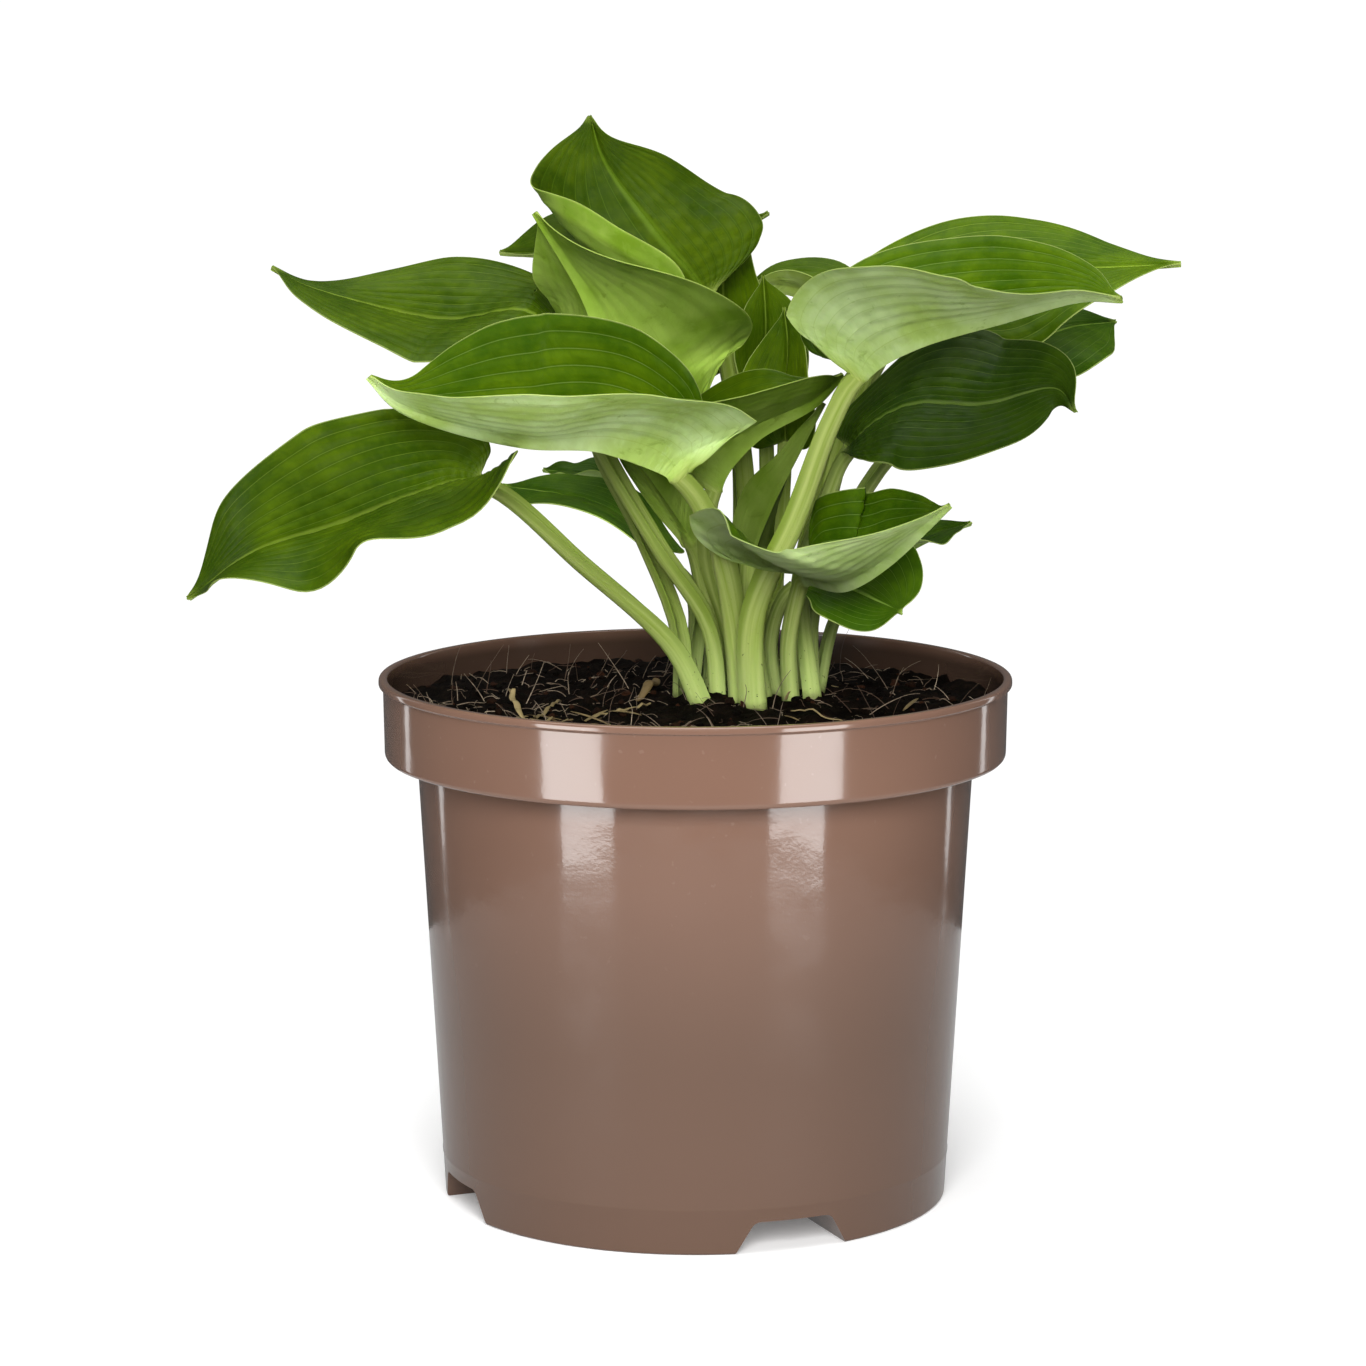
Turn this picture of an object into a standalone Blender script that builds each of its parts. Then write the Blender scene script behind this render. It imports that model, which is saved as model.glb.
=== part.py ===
"""A hosta in a round collared nursery pot: pot, soil, crown and twenty-one leaves.

Run with blender --background --python part.py, or from Blender's text editor.
The origin is the middle of the pot's underside, +Z is up, and the scene is in metres.
Every size in this file is in millimetres; `add_mesh` turns it into metres.
"""
import bpy
import numpy as np
from mathutils import Matrix

MILLIMETRE = 0.001
SHARP_ANGLE = 35.0              # degrees

# ---- pot -------------------------------------------------------------------------------
POT_HEIGHT = 158.4
RIM_RADIUS = 95.0
LIP_HEIGHT = 2.4                # the bead round the rim
LIP_PROUD = 1.3                 # how far the bead stands out of the collar
LIP_ROUND = 0.7
COLLAR_HEIGHT = 24.1            # rim to the collar's lower edge
COLLAR_TAPER = 0.4
BODY_TOP_RADIUS = 83.6
BASE_RADIUS = 76.0
WALL = 1.4
EDGE_ROUND = 1.0
SEGMENTS = 72                   # round the pot and the soil

FOOT_HEIGHT = 9.5               # height of the channels under the pot
FOOT_TOP_WIDTH = 24.0
FOOT_BOTTOM_WIDTH = 35.0
FOOT_CORNER = 2.0
FOOT_BEVEL = 1.2                # how far each top corner is cut across
FOOT_TURN = 22.0                # degrees, the first channel's bearing from the front
DRAIN_RADIUS = 4.0
DRAIN_DISTANCE = 48.0
DRAIN_SEGMENTS = 16

# ---- soil and crown --------------------------------------------------------------------
FIT_GAP = 0.3                   # between solids that touch
SOIL_LEVEL = 149.4
SOIL_MOUND = 3.0
SOIL_SPREAD = 34.0              # radius of the mound round the stems
SOIL_SWELL = 0.5                # height of the surface's swells
SOIL_SWELL_LENGTH = (9.0, 11.0)
SOIL_RIPPLE = 0.3
SOIL_RIPPLE_LENGTH = 7.0
SOIL_RINGS = (0.86, 0.7, 0.53, 0.36, 0.18)      # of the surface, as parts of its radius
ROOT_LEVEL = 147.0              # where each petiole starts
CROWN_MIDDLE = (14.0, 5.0)
CROWN_HALVES = (31.5, 29.5)     # half-widths along X and Y
CROWN_DEPTH = 20.0
CROWN_SEGMENTS = 28
CROWN_PROFILE = ((0.45, 0.93), (0.8, 0.65), (1.0, 0.3))     # parts of its radius and depth

# ---- leaves ----------------------------------------------------------------------------
BLADE_THICKNESS = 0.8
PETIOLE_ROWS = 5
CHANNEL_DEPTH = 0.42            # depth of a petiole's groove, in stalk half-widths
KEEL_DEPTH = 1.15               # depth of its round back, in stalk half-widths
TIP_HALF_WIDTH = 0.6
LEAST_CURL = 0.0005             # radians, so that a half is an arc and never a straight line
WAVE_REACH = 1.5                # over 1, the waves are full before the blade is
EDGE_CROWDING = 0.6             # under 1, a petiole's columns crowd toward its edges
STALK_TAPER = 1.5               # over 1, a petiole's foot flares
STALK_FADES = 1.5               # outline knots until a petiole's own width is gone
BLADE_OPENS = 2.6               # knots until the blade lies open
BELLY_COMES = 6.0               # knots until `belly` counts in full
VEIN_SWEEP = 1.15               # over 1, the side veins bend toward the tip
RIB_TAPER = 0.72                # the part of its width that the midrib loses by the tip
RIB_DEPTH = 0.9                 # the midrib's depth under the blade, in its half-widths
RIB_FOOT = 1.6                  # where it meets the blade, in its half-widths

# A hosta blade's outline, from base to tip: the margin's station, the margin's half-width
# and the station where that vein leaves the midrib, each as a fraction of the blade.
OUTLINE = (
    (0.000, 0.000, 0.000), (-0.004, 0.110, 0.008), (-0.030, 0.310, 0.024),
    (-0.060, 0.560, 0.050), (-0.025, 0.800, 0.095), (0.100, 0.960, 0.175),
    (0.270, 1.000, 0.300), (0.460, 0.880, 0.460), (0.650, 0.610, 0.640),
    (0.810, 0.300, 0.800), (0.925, 0.090, 0.920), (1.000, 0.015, 1.000),
)
# The margin's stations on a blade whose base has no lobes.
PLAIN_BASE = (0.0, 0.010, 0.038, 0.070, 0.110, 0.165, 0.290, 0.460, 0.650, 0.810, 0.925, 1.0)

# Each leaf's petiole and midrib are points on one smooth curve. `face` gives the way that
# the upper side looks at the root, the blade's base and the tip. Pairs are the left and the
# right half, seen from above with the tip ahead. `half` is a half's width, `lobe` scales the
# part of its margin behind the blade's base, and a `belly` under 1 moves its widest place
# toward the tip. `fold` (the half's rise at the midrib) and `curl` (its further turn out to
# the margin) are degrees at base, middle and tip. `wave` is the margin's waves: height,
# count and start in degrees.
LEAVES = {
    "leaf_far_left": dict(
        petiole=((4.2, -9.2, 147), (-5.8, -10.1, 168.8), (-33, -12, 194)),
        midrib=((-63, -16.2, 218.5), (-82, -27.2, 215.8), (-104.5, -31.1, 207.9),
                (-128.6, -34.8, 200.4), (-149.5, -25.1, 185.1)),
        face=((.57, .29, .77), (.38, -.27, .88), (.11, -.59, .8)), stalk=(3.6, 2.6),
        half=(36.1, 29.1), lobe=(.51, .87), belly=(.9, .68),
        fold=((31, 18, 7), (16, 52, 27)), curl=((18, 1, -6), (2, 5, 24)), wave=((6.7, .9), 2.6, 57, 0)),
    "leaf_upper_left": dict(
        petiole=((8.4, 1.2, 147), (5.2, 2.2, 172.8), (-10.9, 3.8, 197.7), (-28, 11.7, 226.2)),
        midrib=((-43.8, 32.1, 260.1), (-51.6, 31.3, 264.9), (-77.2, 42.4, 261.7),
                (-117.9, 42.4, 271.8), (-129.3, 45, 277.6)),
        face=((.64, 0, .77), (.58, -.55, .59), (.13, -.26, .96)), stalk=(3.2, 2.5),
        half=(33.8, 26.3), lobe=(-.01, .88), belly=(.68, 1.13),
        fold=((-1, 14, -5), (-10, 36, -14)), curl=((-20, -15, 11), (-26, -14, 3)),
        wave=((-.5, 1.1), 1.5, 0, 0)),
    "leaf_front_left": dict(
        petiole=((13.5, -5.1, 147), (12, -8, 170), (7.1, -17.3, 202)),
        midrib=((-4.1, -24, 221.9), (-25.5, -32.7, 231.7), (-50.3, -37, 233.4),
                (-85, -40.4, 243.2), (-94, -41.2, 252.1)),
        face=((.32, .85, .42), (.79, .15, .6), (.21, -.44, .87)), stalk=(3.5, 3.5),
        half=(46.1, 37.3), lobe=(.61, .36), belly=(.57, .59),
        fold=((75, 27, 57), (87, 65, 54)), curl=((-49, 11, -10), (24, 12, 5)),
        wave=((-2.6, .4), 1.5, 0, 0)),
    "leaf_behind_front": dict(
        petiole=((14.3, 8.1, 147), (10.5, 9, 172.2), (3, 3.8, 196)),
        midrib=((4.4, -.2, 214.6), (17, -1.3, 230.6), (35.5, 2.7, 240.5), (43.9, 9.6, 247.9)),
        face=((-.21, .52, .83), (-.89, .06, .45), (-.36, -.33, .87)), stalk=(3.2, 3),
        half=(24.2, 29.3), lobe=(-.06, 0), belly=(.76, .79),
        fold=((61, 38, 45), (71, 33, 43)), curl=((5, 1, 1), (11, 1, -2)), wave=((.1, 1), 1.5, 0, 0)),
    "leaf_top": dict(
        petiole=((13.6, 15, 147), (15.9, 34.2, 200.1), (11.3, 42.2, 240.3)),
        midrib=((3.5, 45, 268.5), (-11.9, 49.7, 288), (-28.2, 62.3, 309.5), (-32.5, 68.2, 322.4)),
        face=((0, -.71, .71), (.3, -.73, .61), (-.1, -.69, .68)), stalk=(3, 2.8),
        half=(53.6, 30.5), lobe=(.89, .1), belly=(.7, 1.13),
        fold=((-2, -30, 11), (18, 7, 38)), curl=((126, 150, 69), (-9, -22, 3)),
        wave=((.7, .5), 1.5, 0, 0)),
    "leaf_right_front": dict(
        petiole=((17.6, -13.8, 147), (17, -16, 179.8), (28.4, -18, 208.1), (38.2, -22, 236.7)),
        midrib=((46.2, -23.8, 251.1), (64.3, -29.8, 262.5), (89.9, -35, 269.5),
                (110.4, -44.4, 275.4), (121, -55.5, 275.8)),
        face=((-.53, .74, .42), (-.9, .05, .43), (.11, -.44, .89)), stalk=(4, 3.5),
        half=(28.8, 37.3), lobe=(1.07, .66), belly=(.75, .88),
        fold=((58, 42, 37), (82, 44, 37)), curl=((7, 1, -4), (2, -2, -11)), wave=((.6, -2), 1.5, 0, 0)),
    "leaf_centre_left": dict(
        petiole=((5.5, 13.2, 147), (7.5, 16, 166.2), (2.7, 14.8, 184.5)),
        midrib=((-.2, 14.1, 195.6), (-24.5, 9.3, 238.5), (-31.3, 2.5, 269.7), (-47, -2.5, 297)),
        face=((0, .53, .85), (-.26, .75, .61), (.6, .07, .8)), stalk=(3.2, 3),
        half=(45.3, 31.3), lobe=(-.55, -.46), belly=(.4, .4),
        fold=((60, 33, 7), (42, 36, -18)), curl=((30, 23, -5), (2, 14, -21)),
        wave=((-1.5, -3.4), 1.5, 0, 0)),
    "leaf_far_right": dict(
        petiole=((29.3, 17.7, 147), (36.2, 27.1, 189.9), (47.5, 40.1, 230.2)),
        midrib=((61.4, 44.4, 256.3), (79.7, 45.5, 268.8), (105.3, 45.4, 275.9),
                (127.2, 43.6, 277.3), (148.3, 42.5, 278.8)),
        face=((-.62, .25, .74), (-.48, -.56, .68), (-.03, -.37, .93)), stalk=(3, 2.6),
        half=(29.1, 27.7), lobe=(1.3, 1), belly=(1.12, .71),
        fold=((27, 24, 18), (20, -5, 10)), curl=((-13, -22, 0), (-10, -32, -6)),
        wave=((-.8, .8), 2, 0, 0)),
    "leaf_right_low": dict(
        petiole=((34.9, 2.7, 147), (31, 9.1, 187.1), (39.4, 9.3, 213.2)),
        midrib=((45, 4.8, 225.4), (63.6, -3.9, 239.4), (85.1, -15.4, 241.4),
                (104.8, -28.4, 247.3), (109.6, -38, 241.7)),
        face=((-.34, .23, .91), (-.68, -.09, .72), (-.65, -.61, .45)), stalk=(3, 2.6),
        half=(27.2, 29.4), lobe=(.94, .07), belly=(.61, .85),
        fold=((15, 12, 4), (6, 18, -23)), curl=((-10, -13, -9), (-25, -22, -8)),
        wave=((-1.3, 1.4), 2, 0, 0)),
    "leaf_right_back": dict(
        petiole=((34.7, 10.1, 147), (35, 16, 177.2), (54, 32.1, 214.5), (72, 44.3, 232)),
        midrib=((85.1, 52, 241.2), (101.1, 62.1, 250.4), (117.9, 72.4, 256.5), (132.4, 81.7, 257.7)),
        face=((-.34, .23, .91), (-.59, -.34, .73), (-.02, -.68, .74)), stalk=(2.8, 2.4),
        half=(24.3, 21.9), lobe=(1, 1.01), belly=(.92, .43),
        fold=((15, -8, 21), (15, 9, 8)), curl=((-10, -25, -6), (-20, -30, -1)),
        wave=((.8, 1.6), 2, 0, 0)),
    "leaf_front_right": dict(
        petiole=((29, -3.5, 147), (28, -10, 170.3), (31.2, -17.5, 188.2)),
        midrib=((32.5, -21.6, 191), (43.3, -35.5, 191.2), (54.9, -44.8, 198.6), (71.8, -66.5, 217.9)),
        face=((-.22, .44, .87), (-.03, .29, .96), (-.31, .04, .95)), stalk=(2.6, 2.4),
        half=(30.2, 46.7), lobe=(.8, 1.35), belly=(.89, 1.04),
        fold=((72, 54, 35), (7, -3, 14)), curl=((17, 6, -2), (35, 37, 17)), wave=((-.2, 1.3), 2, 0, 0)),
    "leaf_low_right": dict(
        petiole=((25.3, 6.7, 147), (22.9, 4.2, 169.2)),
        midrib=((29.5, -.8, 185.3), (41.3, -4.9, 186.3), (53.7, -14.9, 182.9), (60.4, -26.4, 181.4)),
        face=((-.34, .23, .91), (-.03, .53, .85), (.13, -.13, .98)), stalk=(2.4, 2),
        half=(21.4, 14.8), lobe=(0, .22), belly=(.49, .56),
        fold=((50, 52, 24), (-46, -40, -75)), curl=((0, 2, -3), (3, 7, -1)), wave=((1.2, .7), 2, 0, 0)),
    "leaf_right_small": dict(
        petiole=((36.1, 17.2, 147), (43.2, 31.8, 172.3)),
        midrib=((58.3, 50.5, 185.1), (66.3, 58.3, 189.7), (76.2, 66.2, 192.9), (87, 74.4, 195)),
        face=((-.34, .23, .91), (-.63, .2, .75), (-.09, -.15, .98)), stalk=(2.2, 1.8),
        half=(15.4, 14.5), lobe=(1, 1), belly=(1.03, 1.03),
        fold=((35, 31, 27), (-5, -2, -1)), curl=((0, -31, -1), (4, -25, 0)), wave=((0, .6), 2, 0, 0)),
    "leaf_left_back_low": dict(
        petiole=((-2, 16.7, 147), (-.2, 29.4, 179.5)),
        midrib=((-11.9, 37.9, 191.3), (-25.4, 46.6, 200.9), (-41.9, 56.4, 205.8), (-60.1, 67.2, 207.6)),
        face=((.34, -.23, .91), (.63, .09, .77), (-.08, -.48, .88)), stalk=(2.8, 2.4),
        half=(18.7, 17.2), lobe=(.95, 1), belly=(.8, 1),
        fold=((4, 15, -9), (20, 31, 23)), curl=((-29, -20, -1), (0, -22, -2)), wave=((.7, -.9), 2, 0, 0)),
    "leaf_left_back_small": dict(
        petiole=((4, 23, 147), (4.2, 50.1, 178), (-7.5, 75.2, 197.4)),
        midrib=((-27.5, 81.8, 206.3), (-34, 84.1, 208.4), (-41, 86.8, 209.5), (-48.2, 89.3, 210.1)),
        face=((.34, -.23, .91), (.61, -.19, .77), (-.06, -.45, .89)), stalk=(2, 1.6),
        half=(11.2, 9.5), lobe=(1, 1), belly=(.9, .95),
        fold=((24, 29, 8), (20, 23, 24)), curl=((3, -23, -3), (0, -27, 0)), wave=((.6, -1.6), 2, 0, 0)),
    "leaf_back_left": dict(
        petiole=((-4, 6.8, 147), (-4.6, 10.9, 169.9), (-16.6, 17.9, 199.8), (-30.3, 29, 227)),
        midrib=((-28.4, 62.9, 257.6), (-33.8, 75.6, 269.8), (-44.2, 82.7, 277.7), (-61.5, 90.7, 278.9)),
        face=((.34, -.23, .91), (.28, -.73, .62), (-.15, -.51, .84)), stalk=(2.8, 2.4),
        half=(12.9, 22.3), lobe=(1, 1), belly=(1.01, .7),
        fold=((30, 45, 24), (20, 28, 31)), curl=((0, 4, -1), (0, -26, 2)), wave=((.5, .3), 2, 0, 0)),
    "leaf_back_right_tip": dict(
        petiole=((11.6, 23.6, 147), (14, 46.1, 205.9)),
        midrib=((11.9, 58.2, 245), (9, 68, 272), (14, 75.9, 286), (23, 80.1, 292)),
        face=((.3, -.2, .8), (0, -.7, .7), (-.3, -.7, .6)), stalk=(2.6, 2.2),
        half=(16, 14), lobe=(1, 1), belly=(1, 1),
        fold=((20, 20, 20), (20, 20, 20)), curl=((0, 0, 0), (0, 0, 0)), wave=((0, 0), 2, 0, 0)),
    "leaf_back_centre": dict(
        petiole=((27.1, 24, 147), (35.7, 42.3, 199.8), (50.8, 56, 240.3)),
        midrib=((46.7, 66.6, 254.9), (38.5, 72.8, 264.1), (27.2, 79.4, 268.2), (12.7, 85.6, 265)),
        face=((.34, -.23, .91), (.61, -.36, .7), (.19, -.25, .95)), stalk=(2.6, 2.2),
        half=(14, 16.2), lobe=(1, 1.03), belly=(1, .88),
        fold=((45, 45, 40), (36, 46, 48)), curl=((0, 0, 0), (-6, -3, 6)), wave=((0, -.4), 2, 0, 0)),
    "leaf_young_left": dict(
        petiole=((20.7, 21.2, 147), (22, 38.4, 205.2)),
        midrib=((21.6, 45.1, 233), (21.4, 49.9, 245.6), (21.8, 53.9, 260.3), (21.1, 61.3, 273.5)),
        face=((0, .71, .71), (.2, -.93, .31), (.14, -.94, .31)), stalk=(2.6, 2.2),
        half=(14.1, 15.8), lobe=(1, 1), belly=(.83, .71),
        fold=((45, 34, 27), (45, 45, 40)), curl=((0, 0, 0), (0, 0, 0)), wave=((0, -.2), 2, 0, 0)),
    "leaf_young_right": dict(
        petiole=((20.7, 12.7, 147), (26, 23.9, 200)),
        midrib=((27.4, 29.1, 225), (27.4, 33.1, 239), (28.3, 37.7, 253.8), (27.2, 44.7, 264.9)),
        face=((0, .71, .71), (-.14, -.94, .32), (-.15, -.87, .47)), stalk=(2.6, 2.2),
        half=(15.9, 13.3), lobe=(1, 1), belly=(.89, .95),
        fold=((35, 33, 39), (35, 47, 38)), curl=((0, -1, 0), (0, 5, 2)), wave=((-.2, -.1), 2, 0, 0)),
    "leaf_young_rolled": dict(
        petiole=((20.8, 0, 147), (17.8, .2, 165)),
        midrib=((16.5, 4, 192.6), (21.5, 5.7, 208.3), (29.7, 8.8, 224.3), (38, 11.1, 239.3)),
        face=((0, .71, .71), (-.17, .93, .33), (-.65, .7, .3)), stalk=(3, 3),
        half=(18, 9.5), lobe=(0, 0), belly=(1.2, 1.33),
        fold=((35, 35, 49), (37, 34, 40)), curl=((30, 29, 1), (31, 30, 0)), wave=((-.2, -1.3), 2, 0, 0)),
}
SMALL_BLADE = 60.0              # a shorter blade has fewer columns
WIDE_COLUMNS = (0.0, 0.13, 0.38, 0.68, 1.0)
SMALL_COLUMNS = (0.0, 0.14, 0.52, 1.0)


# ---- colours, linear -------------------------------------------------------------------
POT_COLOUR = (0.30, 0.19, 0.14)
SOIL_COLOUR = (0.022, 0.015, 0.011)
CROWN_COLOUR = (0.12, 0.11, 0.05)
LEAF_COLOUR = (0.07, 0.19, 0.02)


# ---- curves ----------------------------------------------------------------------------
def unit(vectors):
    return vectors / np.linalg.norm(vectors, axis=-1, keepdims=True)


def ease(x):
    """0 below 0, 1 above 1, smooth between."""
    x = np.clip(x, 0.0, 1.0)
    return x * x * (3.0 - 2.0 * x)


def along_blade(values, f, middle=0.45):
    """Ease from the base's value to the middle's and on to the tip's; f is 0 to 1."""
    base, mid, tip = values
    first = base + (mid - base) * ease(f / middle)
    second = mid + (tip - mid) * ease((f - middle) / (1.0 - middle))
    return np.where(f < middle, first, second)


def curve_through(points, steps):
    """Centripetal Catmull-Rom curve through the points, with `steps` pieces per span."""
    p = np.asarray(points, float)
    p = np.vstack([2.0 * p[0] - p[1], p, 2.0 * p[-1] - p[-2]])
    spans = len(p) - 3
    rows = []
    for k in range(spans):
        p0, p1, p2, p3 = p[k:k + 4]
        t0 = 0.0
        t1 = t0 + np.linalg.norm(p1 - p0) ** 0.5
        t2 = t1 + np.linalg.norm(p2 - p1) ** 0.5
        t3 = t2 + np.linalg.norm(p3 - p2) ** 0.5
        last = k == spans - 1
        for t in np.linspace(t1, t2, steps + last, endpoint=last):
            a1 = (t1 - t) / (t1 - t0) * p0 + (t - t0) / (t1 - t0) * p1
            a2 = (t2 - t) / (t2 - t1) * p1 + (t - t1) / (t2 - t1) * p2
            a3 = (t3 - t) / (t3 - t2) * p2 + (t - t2) / (t3 - t2) * p3
            b1 = (t2 - t) / (t2 - t0) * a1 + (t - t0) / (t2 - t0) * a2
            b2 = (t3 - t) / (t3 - t1) * a2 + (t - t1) / (t3 - t1) * a3
            rows.append((t2 - t) / (t2 - t1) * b1 + (t - t1) / (t2 - t1) * b2)
    return np.array(rows)


# ---- leaf ------------------------------------------------------------------------------
class Spine:
    """A leaf's centre line, petiole then midrib, and the way that its upper side looks."""

    def __init__(self, spec, steps=24):
        self.path = curve_through(spec["petiole"] + spec["midrib"], steps)
        lengths = np.linalg.norm(np.diff(self.path, axis=0), axis=1)
        arc = np.concatenate([[0.0], np.cumsum(lengths)])
        self.arc = arc - arc[steps * len(spec["petiole"])]      # 0 at the blade's base
        self.stem = -self.arc[0]
        self.blade = self.arc[-1]
        self.tangent = unit(np.gradient(self.path, self.arc, axis=0))
        root, base, tip = [unit(np.array(v, float)) for v in spec["face"]]
        up_stem = ease(1.0 + self.arc / self.stem)[:, None]
        up_blade = np.clip(self.arc / self.blade, 0.0, 1.0)[:, None]
        self.face = np.where(self.arc[:, None] < 0.0,
                             root * (1.0 - up_stem) + base * up_stem,
                             base * (1.0 - up_blade) + tip * up_blade)

    def frame(self, s, start):
        """Points, tangents, normals and rightward vectors at arc lengths s.

        Below `start` the centre line carries on straight, for the lobes behind the base.
        """
        held = np.clip(s, start, self.blade)
        at = [np.stack([np.interp(held, self.arc, table[:, k]) for k in range(3)], -1)
              for table in (self.path, self.tangent, self.face)]
        tangent = unit(at[1])
        normal = unit(at[2] - np.sum(at[2] * tangent, -1, keepdims=True) * tangent)
        point = at[0] + tangent * (s - held)[..., None]
        return point, normal, np.cross(tangent, normal)


def outline_at(rows, steps=10):
    """Margin station, half-width, vein root and lobeless station at `rows` places."""
    knots = np.column_stack([OUTLINE, PLAIN_BASE])
    knot = np.linspace(0.0, len(OUTLINE) - 1.0, rows)
    shaped = curve_through(knots[:, :3], steps)
    plain = curve_through(knots[:, [3, 1]], steps)
    fine = np.linspace(0.0, len(OUTLINE) - 1.0, len(shaped))
    station, width, vein = [np.interp(knot, fine, shaped[:, k]) for k in range(3)]
    return knot, station, np.maximum(width, 0.0), vein, np.interp(knot, fine, plain[:, 0])


def leaf_rows(spec, columns, petiole_rows, blade_rows):
    """The leaf's middle surface as rows of points, and each point's drop to the underside."""
    spine = Spine(spec)
    v = np.concatenate([-np.array(columns[:0:-1]), columns])
    reach, side, left = np.abs(v), np.sign(v), v < 0.0
    root_half, base_half = spec["stalk"]

    def halves(name):
        return np.where(left, *spec[name])

    rows, drops = [], []
    for s in np.linspace(-spine.stem, 0.0, petiole_rows, endpoint=False):
        point, normal, right = spine.frame(np.full(v.shape, s), spine.arc[0])
        half = base_half + (root_half - base_half) * (-s / spine.stem) ** STALK_TAPER
        across = side * reach ** EDGE_CROWDING
        groove = CHANNEL_DEPTH * half * across ** 2
        rows.append(point + right * (half * across)[:, None] + normal * groove[:, None])
        drops.append(-normal * (KEEL_DEPTH * half * np.sqrt(1.0 - across ** 2))[:, None])

    fold_left, fold_right = spec["fold"]
    curl_left, curl_right = spec["curl"]
    wave_height, wave_count, *wave_start = spec["wave"]
    width, lobe, belly = halves("half"), halves("lobe"), halves("belly")
    height = np.where(left, *wave_height)
    start = np.radians(np.where(left, *wave_start))
    tip_knot = len(OUTLINE) - 2.0
    for knot, station, outline, vein, plain in zip(*outline_at(blade_rows)):
        opened = ease(knot / BLADE_OPENS)               # 0 a petiole, 1 a flat blade
        edge = np.maximum(width * outline, TIP_HALF_WIDTH * (knot > tip_knot))
        edge = edge + base_half * (1.0 - ease(knot / STALK_FADES))
        u = edge * reach ** (EDGE_CROWDING + (1.0 - EDGE_CROWDING) * opened)
        margin = plain + lobe * (station - plain)
        ahead = np.maximum(margin, 0.0)
        margin = (margin + (ahead ** belly - ahead) * ease(knot / BELLY_COMES)) * spine.blade
        root = vein * spine.blade
        s = root + (margin - root) * reach ** VEIN_SWEEP
        f = s / spine.blade
        point, normal, right = spine.frame(s, 0.0)
        fold = np.where(left, along_blade(fold_left, f), along_blade(fold_right, f))
        curl = np.where(left, along_blade(curl_left, f), along_blade(curl_right, f))
        fold = np.radians(fold) * opened
        curl = np.radians(curl) * opened + LEAST_CURL
        turned = curl * u / width
        out = width / curl * (np.sin(fold + turned) - np.sin(fold))
        rise = width / curl * (np.cos(fold) - np.cos(fold + turned))
        groove = CHANNEL_DEPTH * base_half * np.minimum(1.0, u / base_half) ** 2
        ripple = height * reach ** 2 * np.sin(2.0 * np.pi * wave_count * f + start)
        rise = rise + (1.0 - opened) * groove + opened * ripple * min(1.0, WAVE_REACH * outline)
        rows.append(point + right * (side * out)[:, None] + normal * rise[:, None])
        rib_half = base_half * (1.0 - RIB_TAPER * vein)
        if opened < 1.0:
            rib = base_half * (1.0 - opened) + rib_half * opened
            deep = KEEL_DEPTH * base_half * (1.0 - opened) + RIB_DEPTH * rib_half * opened
            drop = deep * np.sqrt(1.0 - np.minimum(1.0, u / rib) ** 2)
        else:
            drop = RIB_DEPTH * rib_half * np.maximum(0.0, 1.0 - u / (RIB_FOOT * rib_half))
        drops.append(-normal * drop[:, None])
    return np.array(rows), np.array(drops)


def leaf_mesh(spec, columns, petiole_rows, blade_rows, thickness):
    """One closed leaf: an upper grid, a lower grid with the same diagonals, and rims."""
    middle, drop = leaf_rows(spec, columns, petiole_rows, blade_rows)
    normal = unit(np.cross(np.gradient(middle, axis=1), np.gradient(middle, axis=0)))
    normal[-1] = normal[-2]
    upper = middle + normal * thickness / 2.0
    lower = middle - normal * thickness / 2.0 + drop
    lean = unit(middle[1].mean(axis=0) - middle[0].mean(axis=0))
    for foot in (upper[0], lower[0]):                   # a level cut at the root
        foot += lean * ((ROOT_LEVEL - foot[:, 2]) / lean[2])[:, None]
    points = np.concatenate([upper.reshape(-1, 3), lower.reshape(-1, 3)])
    count, wide = middle.shape[:2]
    under = count * wide
    faces = []
    for i in range(count - 1):
        for j in range(wide - 1):
            a, b = i * wide + j, i * wide + j + 1
            c, d = b + wide, a + wide
            faces += [(a, b, c), (a, c, d)]
            faces += [(under + a, under + c, under + b), (under + a, under + d, under + c)]
    rim = [i * wide for i in range(count)]
    rim += [(count - 1) * wide + j for j in range(1, wide)]
    rim += [i * wide + wide - 1 for i in range(count - 2, -1, -1)]
    rim += [j for j in range(wide - 2, 0, -1)]
    for a, b in zip(rim, rim[1:] + rim[:1]):
        faces += [(a, b, under + b), (a, under + b, under + a)]
    return points, faces


# ---- Blender helpers -------------------------------------------------------------------
def clear_scene():
    for old in list(bpy.data.objects):
        bpy.data.objects.remove(old, do_unlink=True)


def material(name, colour, roughness):
    made = bpy.data.materials.new(name)
    made.use_nodes = True
    shader = made.node_tree.nodes["Principled BSDF"]
    shader.inputs["Base Color"].default_value = (*colour, 1.0)
    shader.inputs["Roughness"].default_value = roughness
    shader.inputs["Metallic"].default_value = 0.0
    made.diffuse_color = (*colour, 1.0)
    return made


def add_mesh(name, points, faces, look=None):
    """A smooth-shaded object from points in millimetres."""
    mesh = bpy.data.meshes.new(name)
    mesh.from_pydata([tuple(p) for p in np.asarray(points) * MILLIMETRE], [], faces)
    mesh.shade_smooth()
    mesh.set_sharp_from_angle(angle=np.radians(SHARP_ANGLE))
    made = bpy.data.objects.new(name, mesh)
    bpy.context.scene.collection.objects.link(made)
    if look:
        mesh.materials.append(look)
    return made


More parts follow.
